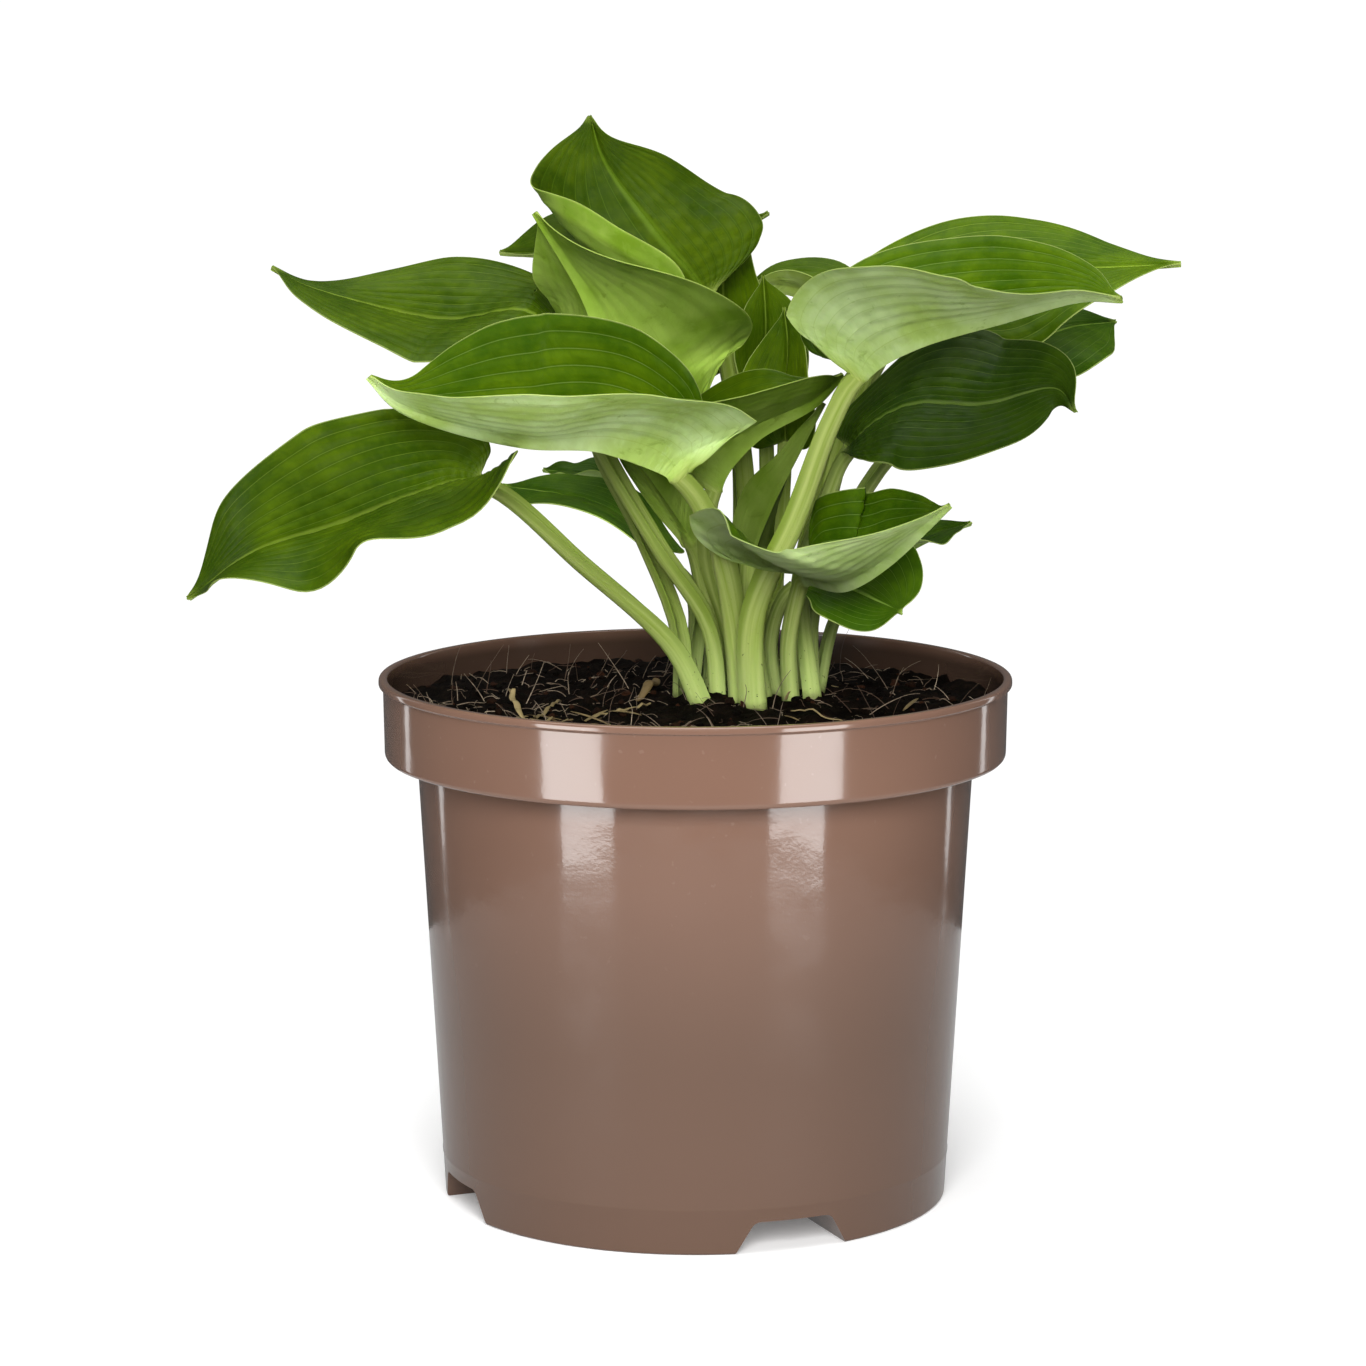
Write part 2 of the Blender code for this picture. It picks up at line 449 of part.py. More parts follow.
def add_turned(name, profile, segments, look=None):
    """Spin a profile of (radius, height) points, from the axis below to the axis above."""
    turn = np.linspace(0.0, 2.0 * np.pi, segments, endpoint=False)
    ring = np.column_stack([np.cos(turn), np.sin(turn)])
    points = [(0.0, 0.0, profile[0][1])]
    for radius, height in profile[1:-1]:
        points += [(x * radius, y * radius, height) for x, y in ring]
    points.append((0.0, 0.0, profile[-1][1]))
    top = len(points) - 1
    last = top - segments
    faces = []
    for j in range(segments):
        k = (j + 1) % segments
        faces += [(0, 1 + k, 1 + j), (top, last + j, last + k)]
        for row in range(1, last, segments):
            faces.append((row + j, row + k, row + segments + k, row + segments + j))
    return add_mesh(name, points, faces, look)


def boolean(target, cutter, operation):
    """Apply an exact Boolean now, and drop the cutter."""
    change = target.modifiers.new(operation, "BOOLEAN")
    change.object = cutter
    change.operation = operation
    change.solver = "EXACT"
    bpy.context.view_layer.update()
    evaluated = target.evaluated_get(bpy.context.evaluated_depsgraph_get())
    result = bpy.data.meshes.new_from_object(evaluated)
    target.modifiers.remove(change)
    target.data = result
    bpy.data.objects.remove(cutter, do_unlink=True)


def add_bar(name, grow, turn):
    """A bar with a rounded trapezoid section, lying across the pot's underside."""
    bottom, top = FOOT_BOTTOM_WIDTH / 2.0 + grow, FOOT_TOP_WIDTH / 2.0 + grow
    height, start = FOOT_HEIGHT + grow, -FOOT_CORNER
    section = [(-bottom - 1.0, start), (bottom + 1.0, start), (bottom, 0.0),
               (top + FOOT_BEVEL, height - FOOT_CORNER), (top - FOOT_BEVEL, height),
               (-top + FOOT_BEVEL, height), (-top - FOOT_BEVEL, height - FOOT_CORNER),
               (-bottom, 0.0)]
    n = len(section)
    points = [(end, y, z) for end in (-RIM_RADIUS, RIM_RADIUS) for y, z in section]
    faces = [tuple(range(n - 1, -1, -1)), tuple(range(n, 2 * n))]
    faces += [(k, (k + 1) % n, n + (k + 1) % n, n + k) for k in range(n)]
    bar = add_mesh(name, points, faces)
    bar.data.transform(Matrix.Rotation(np.radians(turn), 4, "Z"))
    return bar


# ---- pot -------------------------------------------------------------------------------
def collar_bottom():
    return POT_HEIGHT - COLLAR_HEIGHT


def inner_profile(gap):
    """The inside of the pot's wall from the floor up, moved inward by `gap`."""
    shoulder = collar_bottom() + WALL
    collar = RIM_RADIUS - LIP_PROUD - WALL - gap
    return [(BASE_RADIUS - WALL - gap, WALL + gap),
            (BODY_TOP_RADIUS - WALL - gap, shoulder + gap - EDGE_ROUND),
            (BODY_TOP_RADIUS - WALL - gap + EDGE_ROUND, shoulder + gap),
            (collar - COLLAR_TAPER, shoulder + gap)]


def bars(name, grow):
    """The two crossing bars under the pot, as one object."""
    first = add_bar(name, grow, FOOT_TURN - 90.0)
    boolean(first, add_bar(name + "_across", grow, FOOT_TURN), "UNION")
    return first


def make_pot():
    lower, lip = collar_bottom(), POT_HEIGHT - LIP_HEIGHT
    collar = RIM_RADIUS - LIP_PROUD
    outside = [
        (0.0, 0.0), (BASE_RADIUS - EDGE_ROUND, 0.0), (BASE_RADIUS, EDGE_ROUND),
        (BODY_TOP_RADIUS, lower), (collar - COLLAR_TAPER - EDGE_ROUND, lower),
        (collar - COLLAR_TAPER, lower + EDGE_ROUND), (collar, lip),
        (RIM_RADIUS, lip + LIP_ROUND), (RIM_RADIUS, POT_HEIGHT - LIP_ROUND),
        (RIM_RADIUS - LIP_ROUND, POT_HEIGHT), (collar - WALL + LIP_ROUND, POT_HEIGHT),
        (collar - WALL, POT_HEIGHT - LIP_ROUND)]
    inside = inner_profile(0.0)[::-1] + [(0.0, WALL)]
    look = material("pot_plastic", POT_COLOUR, 0.22)
    pot = add_turned("pot", outside + inside, SEGMENTS, look)
    raised = bars("raised_floor", WALL)
    half_wall = WALL / 2.0
    core = add_turned("core", [(0.0, half_wall), (BASE_RADIUS - half_wall, half_wall),
                               (BODY_TOP_RADIUS - half_wall, lower), (0.0, lower)], SEGMENTS)
    boolean(raised, core, "INTERSECT")
    boolean(pot, raised, "UNION")
    boolean(pot, bars("channels", 0.0), "DIFFERENCE")
    for quarter in range(4):
        bearing = np.radians(FOOT_TURN + 90.0 * quarter - 90.0)
        through = 2.0 * FOOT_HEIGHT
        drain = add_turned("drain", [(0.0, 0.0), (DRAIN_RADIUS, 0.0), (DRAIN_RADIUS, through),
                                     (0.0, through)], DRAIN_SEGMENTS)
        spot = np.array([np.cos(bearing), np.sin(bearing), 0.0]) * DRAIN_DISTANCE * MILLIMETRE
        drain.data.transform(Matrix.Translation(spot))
        boolean(pot, drain, "DIFFERENCE")
    pot.data.materials.clear()
    pot.data.materials.append(look)


# ---- soil and crown --------------------------------------------------------------------
def soil_height(x, y):
    """The soil's uneven surface, with a low mound round the crown."""
    across, along = SOIL_SWELL_LENGTH
    swell = SOIL_SWELL * np.sin(x / across + 1.0) * np.cos(y / along)
    ripple = SOIL_RIPPLE * np.sin((x + 2.0 * y) / SOIL_RIPPLE_LENGTH)
    away = np.hypot(x - CROWN_MIDDLE[0], y - CROWN_MIDDLE[1]) / SOIL_SPREAD
    return SOIL_LEVEL + swell + ripple + SOIL_MOUND * np.exp(-away ** 2)


def add_crown(name, grow, top, look=None):
    """A round-bottomed plug up to the height `top`; `grow` widens it on every side."""
    level, depth = ROOT_LEVEL - FIT_GAP, CROWN_DEPTH + grow
    profile = [(0.0, level - depth)]
    profile += [(radius, level - part * depth) for radius, part in CROWN_PROFILE]
    crown = add_turned(name, profile + [(1.0, top), (0.0, top)], CROWN_SEGMENTS, look)
    half_x, half_y = CROWN_HALVES
    crown.data.transform(Matrix.Diagonal((half_x + grow, half_y + grow, 1.0, 1.0)))
    crown.data.transform(Matrix.Translation((*np.array(CROWN_MIDDLE) * MILLIMETRE, 0.0)))
    return crown


def make_soil():
    look = material("soil_dark", SOIL_COLOUR, 0.9)
    wall = inner_profile(FIT_GAP)
    edge = wall[-1][0]
    profile = [(0.0, wall[0][1])] + wall + [(edge, SOIL_LEVEL)]
    profile += [(edge * part, SOIL_LEVEL) for part in SOIL_RINGS] + [(0.0, SOIL_LEVEL)]
    soil = add_turned("soil", profile, SEGMENTS, look)
    for vertex in soil.data.vertices:
        x, y, z = np.array(vertex.co) / MILLIMETRE
        if z > SOIL_LEVEL - EDGE_ROUND:
            vertex.co.z = soil_height(x, y) * MILLIMETRE
    boolean(soil, bars("soil_channels", WALL + FIT_GAP), "DIFFERENCE")
    boolean(soil, add_crown("socket", FIT_GAP, POT_HEIGHT), "DIFFERENCE")
    soil.data.materials.clear()
    soil.data.materials.append(look)


def make_crown():
    add_crown("crown", 0.0, ROOT_LEVEL - FIT_GAP, material("crown_root", CROWN_COLOUR, 0.8))


# ---- leaves ----------------------------------------------------------------------------
def make_leaves():
    for name, spec in LEAVES.items():
        columns = WIDE_COLUMNS if Spine(spec).blade > SMALL_BLADE else SMALL_COLUMNS
        points, faces = leaf_mesh(spec, columns, PETIOLE_ROWS, len(OUTLINE), BLADE_THICKNESS)
        add_mesh(name, points, faces, material(name + "_green", LEAF_COLOUR, 0.45))


clear_scene()
make_pot()
make_soil()
make_crown()
make_leaves()
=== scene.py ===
"""Looks of the potted hosta: fine leaves, potting soil, crown and a glossy nursery pot.

Sizes are in millimetres, as in the part's own source, and `add_mesh` turns them into metres.
"""

import bmesh
import bpy
import numpy as np
from mathutils import Matrix, Vector, noise


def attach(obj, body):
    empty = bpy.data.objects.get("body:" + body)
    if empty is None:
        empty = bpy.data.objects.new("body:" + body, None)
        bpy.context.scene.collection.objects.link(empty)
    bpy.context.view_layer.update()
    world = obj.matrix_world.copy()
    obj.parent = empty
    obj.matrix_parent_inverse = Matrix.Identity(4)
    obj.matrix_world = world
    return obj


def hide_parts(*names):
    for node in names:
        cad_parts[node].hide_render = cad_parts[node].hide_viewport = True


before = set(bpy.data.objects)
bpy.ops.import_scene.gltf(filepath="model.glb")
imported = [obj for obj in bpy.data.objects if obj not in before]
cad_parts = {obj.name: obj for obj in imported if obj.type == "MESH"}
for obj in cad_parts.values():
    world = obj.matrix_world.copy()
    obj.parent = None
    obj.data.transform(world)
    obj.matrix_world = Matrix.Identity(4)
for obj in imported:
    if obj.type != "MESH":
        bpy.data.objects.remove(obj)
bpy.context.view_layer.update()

MILLIMETRE = 0.001
ROOT = "root"
SEED = 7
SHARP_ANGLE = 35.0              # degrees
POT_SHARP_ANGLE = 32.0

# ---- pot -------------------------------------------------------------------------------
POT_HEIGHT = 158.4
RIM_RADIUS = 95.0
LIP_HEIGHT = 2.4                # the bead round the rim
LIP_PROUD = 1.3                 # how far the bead stands out of the collar
COLLAR_HEIGHT = 24.1            # rim to the collar's lower edge
COLLAR_TAPER = 0.4
BODY_TOP_RADIUS = 83.6
BASE_RADIUS = 76.0
WALL = 1.4
EDGE_ROUND = 1.0
SEGMENTS = 288                  # round the pot

FOOT_HEIGHT = 9.5               # height of the channels under the pot
FOOT_TOP_WIDTH = 24.0
FOOT_BOTTOM_WIDTH = 35.0
FOOT_CORNER = 2.0
FOOT_TURN = 22.0                # degrees, the first channel's bearing from the front
DRAIN_RADIUS = 4.0
DRAIN_DISTANCE = 48.0

# ---- soil and crown --------------------------------------------------------------------
FIT_GAP = 0.3                   # between solids that touch
SOIL_LEVEL = 149.4
SOIL_MOUND = 3.0
SOIL_SPREAD = 34.0              # radius of the mound round the stems
SOIL_SWELL = 0.5                # height of the surface's swells
SOIL_SWELL_LENGTH = (9.0, 11.0)
SOIL_RIPPLE = 0.3
SOIL_RIPPLE_LENGTH = 7.0
ROOT_LEVEL = 147.0              # where each petiole starts
CROWN_MIDDLE = (14.0, 5.0)

# ---- leaves ----------------------------------------------------------------------------
CHANNEL_DEPTH = 0.42            # depth of a petiole's groove, in stalk half-widths
KEEL_DEPTH = 1.15               # depth of its round back, in stalk half-widths
TIP_HALF_WIDTH = 0.6
LEAST_CURL = 0.0005             # radians, so that a half is an arc and never a straight line
WAVE_REACH = 1.5                # over 1, the waves are full before the blade is
EDGE_CROWDING = 0.6             # under 1, a petiole's columns crowd toward its edges
STALK_TAPER = 1.5               # over 1, a petiole's foot flares
STALK_FADES = 1.5               # outline knots until a petiole's own width is gone
BLADE_OPENS = 2.6               # knots until the blade lies open
BELLY_COMES = 6.0               # knots until `belly` counts in full
VEIN_SWEEP = 1.15               # over 1, the side veins bend toward the tip
RIB_TAPER = 0.72                # the part of its width that the midrib loses by the tip
RIB_DEPTH = 0.9                 # the midrib's depth under the blade, in its half-widths
RIB_FOOT = 1.6                  # where it meets the blade, in its half-widths

# A hosta blade's outline, from base to tip: the margin's station, the margin's half-width
# and the station where that vein leaves the midrib, each as a fraction of the blade.
OUTLINE = (
    (0.000, 0.000, 0.000), (-0.004, 0.110, 0.008), (-0.030, 0.310, 0.024),
    (-0.060, 0.560, 0.050), (-0.025, 0.800, 0.095), (0.100, 0.960, 0.175),
    (0.270, 1.000, 0.300), (0.460, 0.880, 0.460), (0.650, 0.610, 0.640),
    (0.810, 0.300, 0.800), (0.925, 0.090, 0.920), (1.000, 0.015, 1.000),
)
# The margin's stations on a blade whose base has no lobes.
PLAIN_BASE = (0.0, 0.010, 0.038, 0.070, 0.110, 0.165, 0.290, 0.460, 0.650, 0.810, 0.925, 1.0)

# Each leaf is a row of the fields below. `green` is its colours' name in GREENS, and the gains
# after it are painted light: they make its upper side and its underside lighter or darker than
# those colours, standing in for the light and shade that reach that leaf. Petiole and
# midrib are points on one smooth curve. `face` gives the way that the upper side looks at the
# root, the blade's base and the tip, and `stalk` the petiole's half-width at the root and the
# blade. Pairs are the left and the right half, seen from above with the tip ahead: `half` is
# a half's width, `lobe` scales the part of its margin behind the blade's base, and a `belly`
# under 1 moves its widest place toward the tip. `fold` (the half's rise at the midrib) and
# `curl` (its further turn out to the margin) are degrees at base, middle and tip. `wave` is
# the margin's waves: their heights, their count and the left half's start in degrees.
LEAF_FIELDS = ("green", "painted_light_gains", "petiole", "midrib", "face", "stalk", "half", "lobe", "belly",
               "fold", "curl", "wave")
LEAVES = {
    "leaf_far_left": ("mid", (1.05, 1), ((4.2, -9.2, 147), (-5.8, -10.1, 168.8), (-33, -12, 194)),
        ((-63, -16.2, 218.5), (-82, -27.2, 215.8), (-104.5, -31.1, 207.9), (-128.6, -34.8, 200.4),
        (-149.5, -25.1, 185.1)), ((.57, .29, .77), (.38, -.27, .88), (.11, -.59, .8)), (3.6, 2.6),
        (36.1, 29.1), (.51, .87), (.9, .68), ((31, 18, 7), (16, 52, 27)), ((18, 1, -6), (2, 5, 24)),
        ((6.7, .9), 2.6, 57)),
    "leaf_upper_left": ("mid", (.98, 1), ((8.4, 1.2, 147), (5.2, 2.2, 172.8), (-10.9, 3.8, 197.7),
        (-28, 11.7, 226.2)), ((-43.8, 32.1, 260.1), (-51.6, 31.3, 264.9), (-77.2, 42.4, 261.7),
        (-117.9, 42.4, 271.8), (-129.3, 45, 277.6)), ((.64, 0, .77), (.58, -.55, .59),
        (.13, -.26, .96)), (3.2, 2.5), (33.8, 26.3), (-.01, .88), (.68, 1.13), ((-1, 14, -5),
        (-10, 36, -14)), ((-20, -15, 11), (-26, -14, 3)), ((-.5, 1.1), 1.5, 0)),
    "leaf_front_left": ("fresh", (1, 1.5), ((13.5, -5.1, 147), (12, -8, 170), (7.1, -17.3, 202)),
        ((-4.1, -24, 221.9), (-25.5, -32.7, 231.7), (-50.3, -37, 233.4), (-85, -40.4, 243.2),
        (-94, -41.2, 252.1)), ((.32, .85, .42), (.79, .15, .6), (.21, -.44, .87)), (3.5, 3.5),
        (46.1, 37.3), (.61, .36), (.57, .59), ((75, 27, 57), (87, 65, 54)), ((-49, 11, -10),
        (24, 12, 5)), ((-2.6, .4), 1.5, 0)),
    "leaf_behind_front": ("dusky", (1, 1), ((14.3, 8.1, 147), (10.5, 9, 172.2), (3, 3.8, 196)),
        ((4.4, -.2, 214.6), (17, -1.3, 230.6), (35.5, 2.7, 240.5), (43.9, 9.6, 247.9)),
        ((-.21, .52, .83), (-.89, .06, .45), (-.36, -.33, .87)), (3.2, 3), (24.2, 29.3), (-.06, 0),
        (.76, .79), ((61, 38, 45), (71, 33, 43)), ((5, 1, 1), (11, 1, -2)), ((.1, 1), 1.5, 0)),
    "leaf_top": ("dusky", (.92, 1.6), ((13.6, 15, 147), (15.9, 34.2, 200.1), (11.3, 42.2, 240.3)),
        ((3.5, 45, 268.5), (-11.9, 49.7, 288), (-28.2, 62.3, 309.5), (-32.5, 68.2, 322.4)),
        ((0, -.71, .71), (.3, -.73, .61), (-.1, -.69, .68)), (3, 2.8), (53.6, 30.5), (.89, .1),
        (.7, 1.13), ((-2, -30, 11), (18, 7, 38)), ((126, 150, 69), (-9, -22, 3)),
        ((.7, .5), 1.5, 0)),
    "leaf_right_front": ("fresh", (1, .9), ((17.6, -13.8, 147), (17, -16, 179.8),
        (28.4, -18, 208.1), (38.2, -22, 236.7)), ((46.2, -23.8, 251.1), (64.3, -29.8, 262.5),
        (89.9, -35, 269.5), (110.4, -44.4, 275.4), (121, -55.5, 275.8)), ((-.53, .74, .42),
        (-.9, .05, .43), (.11, -.44, .89)), (4, 3.5), (28.8, 37.3), (1.07, .66), (.75, .88),
        ((58, 42, 37), (82, 44, 37)), ((7, 1, -4), (2, -2, -11)), ((.6, -2), 1.5, 0)),
    "leaf_centre_left": ("dusky", (1.2, 1.35), ((5.5, 13.2, 147), (7.5, 16, 166.2),
        (2.7, 14.8, 184.5)), ((-.2, 14.1, 195.6), (-24.5, 9.3, 238.5), (-31.3, 2.5, 269.7),
        (-47, -2.5, 297)), ((0, .53, .85), (-.26, .75, .61), (.6, .07, .8)), (3.2, 3), (45.3, 31.3),
        (-.55, -.46), (.4, .4), ((60, 33, 7), (42, 36, -18)), ((30, 23, -5), (2, 14, -21)),
        ((-1.5, -3.4), 1.5, 0)),
    "leaf_far_right": ("mid", (1.45, 1), ((29.3, 17.7, 147), (36.2, 27.1, 189.9),
        (47.5, 40.1, 230.2)), ((61.4, 44.4, 256.3), (79.7, 45.5, 268.8), (105.3, 45.4, 275.9),
        (127.2, 43.6, 277.3), (148.3, 42.5, 278.8)), ((-.62, .25, .74), (-.48, -.56, .68),
        (-.03, -.37, .93)), (3, 2.6), (29.1, 27.7), (1.3, 1), (1.12, .71), ((27, 24, 18),
        (20, -5, 10)), ((-13, -22, 0), (-10, -32, -6)), ((-.8, .8), 2, 0)),
    "leaf_right_low": ("deep", (.8, 1), ((34.9, 2.7, 147), (31, 9.1, 187.1), (39.4, 9.3, 213.2)),
        ((45, 4.8, 225.4), (63.6, -3.9, 239.4), (85.1, -15.4, 241.4), (104.8, -28.4, 247.3),
        (109.6, -38, 241.7)), ((-.34, .23, .91), (-.68, -.09, .72), (-.65, -.61, .45)), (3, 2.6),
        (27.2, 29.4), (.94, .07), (.61, .85), ((15, 12, 4), (6, 18, -23)), ((-10, -13, -9),
        (-25, -22, -8)), ((-1.3, 1.4), 2, 0)),
    "leaf_right_back": ("deep", (2, 1), ((34.7, 10.1, 147), (35, 16, 177.2), (54, 32.1, 214.5),
        (72, 44.3, 232)), ((85.1, 52, 241.2), (101.1, 62.1, 250.4), (117.9, 72.4, 256.5),
        (132.4, 81.7, 257.7)), ((-.34, .23, .91), (-.59, -.34, .73), (-.02, -.68, .74)), (2.8, 2.4),
        (24.3, 21.9), (1, 1.01), (.92, .43), ((15, -8, 21), (15, 9, 8)), ((-10, -25, -6),
        (-20, -30, -1)), ((.8, 1.6), 2, 0)),
    "leaf_front_right": ("powdered", (1, 1.05), ((29, -3.5, 147), (28, -10, 170.3),
        (31.2, -17.5, 188.2)), ((32.5, -21.6, 191), (43.3, -35.5, 191.2), (54.9, -44.8, 198.6),
        (71.8, -66.5, 217.9)), ((-.22, .44, .87), (-.03, .29, .96), (-.31, .04, .95)), (2.6, 2.4),
        (30.2, 46.7), (.8, 1.35), (.89, 1.04), ((72, 54, 35), (7, -3, 14)), ((17, 6, -2),
        (35, 37, 17)), ((-.2, 1.3), 2, 0)),
    "leaf_low_right": ("deep", (2.6, 1.5), ((25.3, 6.7, 147), (22.9, 4.2, 169.2)),
        ((29.5, -.8, 185.3), (41.3, -4.9, 186.3), (53.7, -14.9, 182.9), (60.4, -26.4, 181.4)),
        ((-.34, .23, .91), (-.03, .53, .85), (.13, -.13, .98)), (2.4, 2), (21.4, 14.8), (0, .22),
        (.49, .56), ((50, 52, 24), (-46, -40, -75)), ((0, 2, -3), (3, 7, -1)),
        ((1.2, .7), 2, 0)),
    "leaf_right_small": ("deep", (2.4, 1.3), ((36.1, 17.2, 147), (43.2, 31.8, 172.3)),
        ((58.3, 50.5, 185.1), (66.3, 58.3, 189.7), (76.2, 66.2, 192.9), (87, 74.4, 195)),
        ((-.34, .23, .91), (-.63, .2, .75), (-.09, -.15, .98)), (2.2, 1.8), (15.4, 14.5), (1, 1),
        (1.03, 1.03), ((35, 31, 27), (-5, -2, -1)), ((0, -31, -1), (4, -25, 0)),
        ((0, .6), 2, 0)),
    "leaf_left_back_low": ("deep", (4.4, 2), ((-2, 16.7, 147), (-.2, 29.4, 179.5)),
        ((-11.9, 37.9, 191.3), (-25.4, 46.6, 200.9), (-41.9, 56.4, 205.8), (-60.1, 67.2, 207.6)),
        ((.34, -.23, .91), (.63, .09, .77), (-.08, -.48, .88)), (2.8, 2.4), (18.7, 17.2), (.95, 1),
        (.8, 1), ((4, 15, -9), (20, 31, 23)), ((-29, -20, -1), (0, -22, -2)), ((.7, -.9), 2, 0)),
    "leaf_left_back_small": ("deep", (2.6, 1.7), ((4, 23, 147), (4.2, 50.1, 178),
        (-7.5, 75.2, 197.4)), ((-27.5, 81.8, 206.3), (-34, 84.1, 208.4), (-41, 86.8, 209.5),
        (-48.2, 89.3, 210.1)), ((.34, -.23, .91), (.61, -.19, .77), (-.06, -.45, .89)), (2, 1.6),
        (11.2, 9.5), (1, 1), (.9, .95), ((24, 29, 8), (20, 23, 24)), ((3, -23, -3), (0, -27, 0)),
        ((.6, -1.6), 2, 0)),
    "leaf_back_left": ("mid", (1, 1), ((-4, 6.8, 147), (-4.6, 10.9, 169.9), (-16.6, 17.9, 199.8),
        (-30.3, 29, 227)), ((-28.4, 62.9, 257.6), (-33.8, 75.6, 269.8), (-44.2, 82.7, 277.7),
        (-61.5, 90.7, 278.9)), ((.34, -.23, .91), (.28, -.73, .62), (-.15, -.51, .84)), (2.8, 2.4),
        (12.9, 22.3), (1, 1), (1.01, .7), ((30, 45, 24), (20, 28, 31)), ((0, 4, -1), (0, -26, 2)),
        ((.5, .3), 2, 0)),
    "leaf_back_right_tip": ("mid", (1, 1), ((11.6, 23.6, 147), (14, 46.1, 205.9)),
        ((11.9, 58.2, 245), (9, 68, 272), (14, 75.9, 286), (23, 80.1, 292)), ((.3, -.2, .8),
        (0, -.7, .7), (-.3, -.7, .6)), (2.6, 2.2), (16, 14), (1, 1), (1, 1), ((20, 20, 20),
        (20, 20, 20)), ((0, 0, 0), (0, 0, 0)), ((0, 0), 2, 0)),
    "leaf_back_centre": ("mid", (1, 1), ((27.1, 24, 147), (35.7, 42.3, 199.8), (50.8, 56, 240.3)),
        ((46.7, 66.6, 254.9), (38.5, 72.8, 264.1), (27.2, 79.4, 268.2), (12.7, 85.6, 265)),
        ((.34, -.23, .91), (.61, -.36, .7), (.19, -.25, .95)), (2.6, 2.2), (14, 16.2), (1, 1.03),
        (1, .88), ((45, 45, 40), (36, 46, 48)), ((0, 0, 0), (-6, -3, 6)), ((0, -.4), 2, 0)),
    "leaf_young_left": ("mid", (1, 1), ((20.7, 21.2, 147), (22, 38.4, 205.2)), ((21.6, 45.1, 233),
        (21.4, 49.9, 245.6), (21.8, 53.9, 260.3), (21.1, 61.3, 273.5)), ((0, .71, .71),
        (.2, -.93, .31), (.14, -.94, .31)), (2.6, 2.2), (14.1, 15.8), (1, 1), (.83, .71),
        ((45, 34, 27), (45, 45, 40)), ((0, 0, 0), (0, 0, 0)), ((0, -.2), 2, 0)),
    "leaf_young_right": ("mid", (1, 1), ((20.7, 12.7, 147), (26, 23.9, 200)), ((27.4, 29.1, 225),
        (27.4, 33.1, 239), (28.3, 37.7, 253.8), (27.2, 44.7, 264.9)), ((0, .71, .71),
        (-.14, -.94, .32), (-.15, -.87, .47)), (2.6, 2.2), (15.9, 13.3), (1, 1), (.89, .95),
        ((35, 33, 39), (35, 47, 38)), ((0, -1, 0), (0, 5, 2)), ((-.2, -.1), 2, 0)),
    "leaf_young_rolled": ("dusky", (.75, .45), ((20.8, 0, 147), (17.8, .2, 165)), ((16.5, 4, 192.6),
        (21.5, 5.7, 208.3), (29.7, 8.8, 224.3), (38, 11.1, 239.3)), ((0, .71, .71),
        (-.17, .93, .33), (-.65, .7, .3)), (3, 3), (18, 9.5), (0, 0), (1.2, 1.33), ((35, 35, 49),
        (37, 34, 40)), ((30, 29, 1), (31, 30, 0)), ((-.2, -1.3), 2, 0)),
}
SMALL_BLADE = 60.0              # a shorter blade has a coarser grid


# ---- curves ----------------------------------------------------------------------------
def unit(vectors):
    return vectors / np.linalg.norm(vectors, axis=-1, keepdims=True)


def ease(x):
    """0 below 0, 1 above 1, smooth between."""
    x = np.clip(x, 0.0, 1.0)
    return x * x * (3.0 - 2.0 * x)


def along_blade(values, f, middle=0.45):
    """Ease from the base's value to the middle's and on to the tip's; f is 0 to 1."""
    base, mid, tip = values
    first = base + (mid - base) * ease(f / middle)
    second = mid + (tip - mid) * ease((f - middle) / (1.0 - middle))
    return np.where(f < middle, first, second)


def between(t, t0, t1, first, second):
    return (t1 - t) / (t1 - t0) * first + (t - t0) / (t1 - t0) * second


def curve_through(points, steps):
    """Centripetal Catmull-Rom curve through the points, with `steps` pieces per span."""
    p = np.asarray(points, float)
    p = np.vstack([2.0 * p[0] - p[1], p, 2.0 * p[-1] - p[-2]])
    spans = len(p) - 3
    rows = []
    for k in range(spans):
        p0, p1, p2, p3 = p[k:k + 4]
        t0 = 0.0
        t1 = t0 + np.linalg.norm(p1 - p0) ** 0.5
        t2 = t1 + np.linalg.norm(p2 - p1) ** 0.5
        t3 = t2 + np.linalg.norm(p3 - p2) ** 0.5
        last = k == spans - 1
        for t in np.linspace(t1, t2, steps + last, endpoint=last):
            a1, a2, a3 = [between(t, *span) for span in
                          ((t0, t1, p0, p1), (t1, t2, p1, p2), (t2, t3, p2, p3))]
            b1, b2 = between(t, t0, t2, a1, a2), between(t, t1, t3, a2, a3)
            rows.append(between(t, t1, t2, b1, b2))
    return np.array(rows)


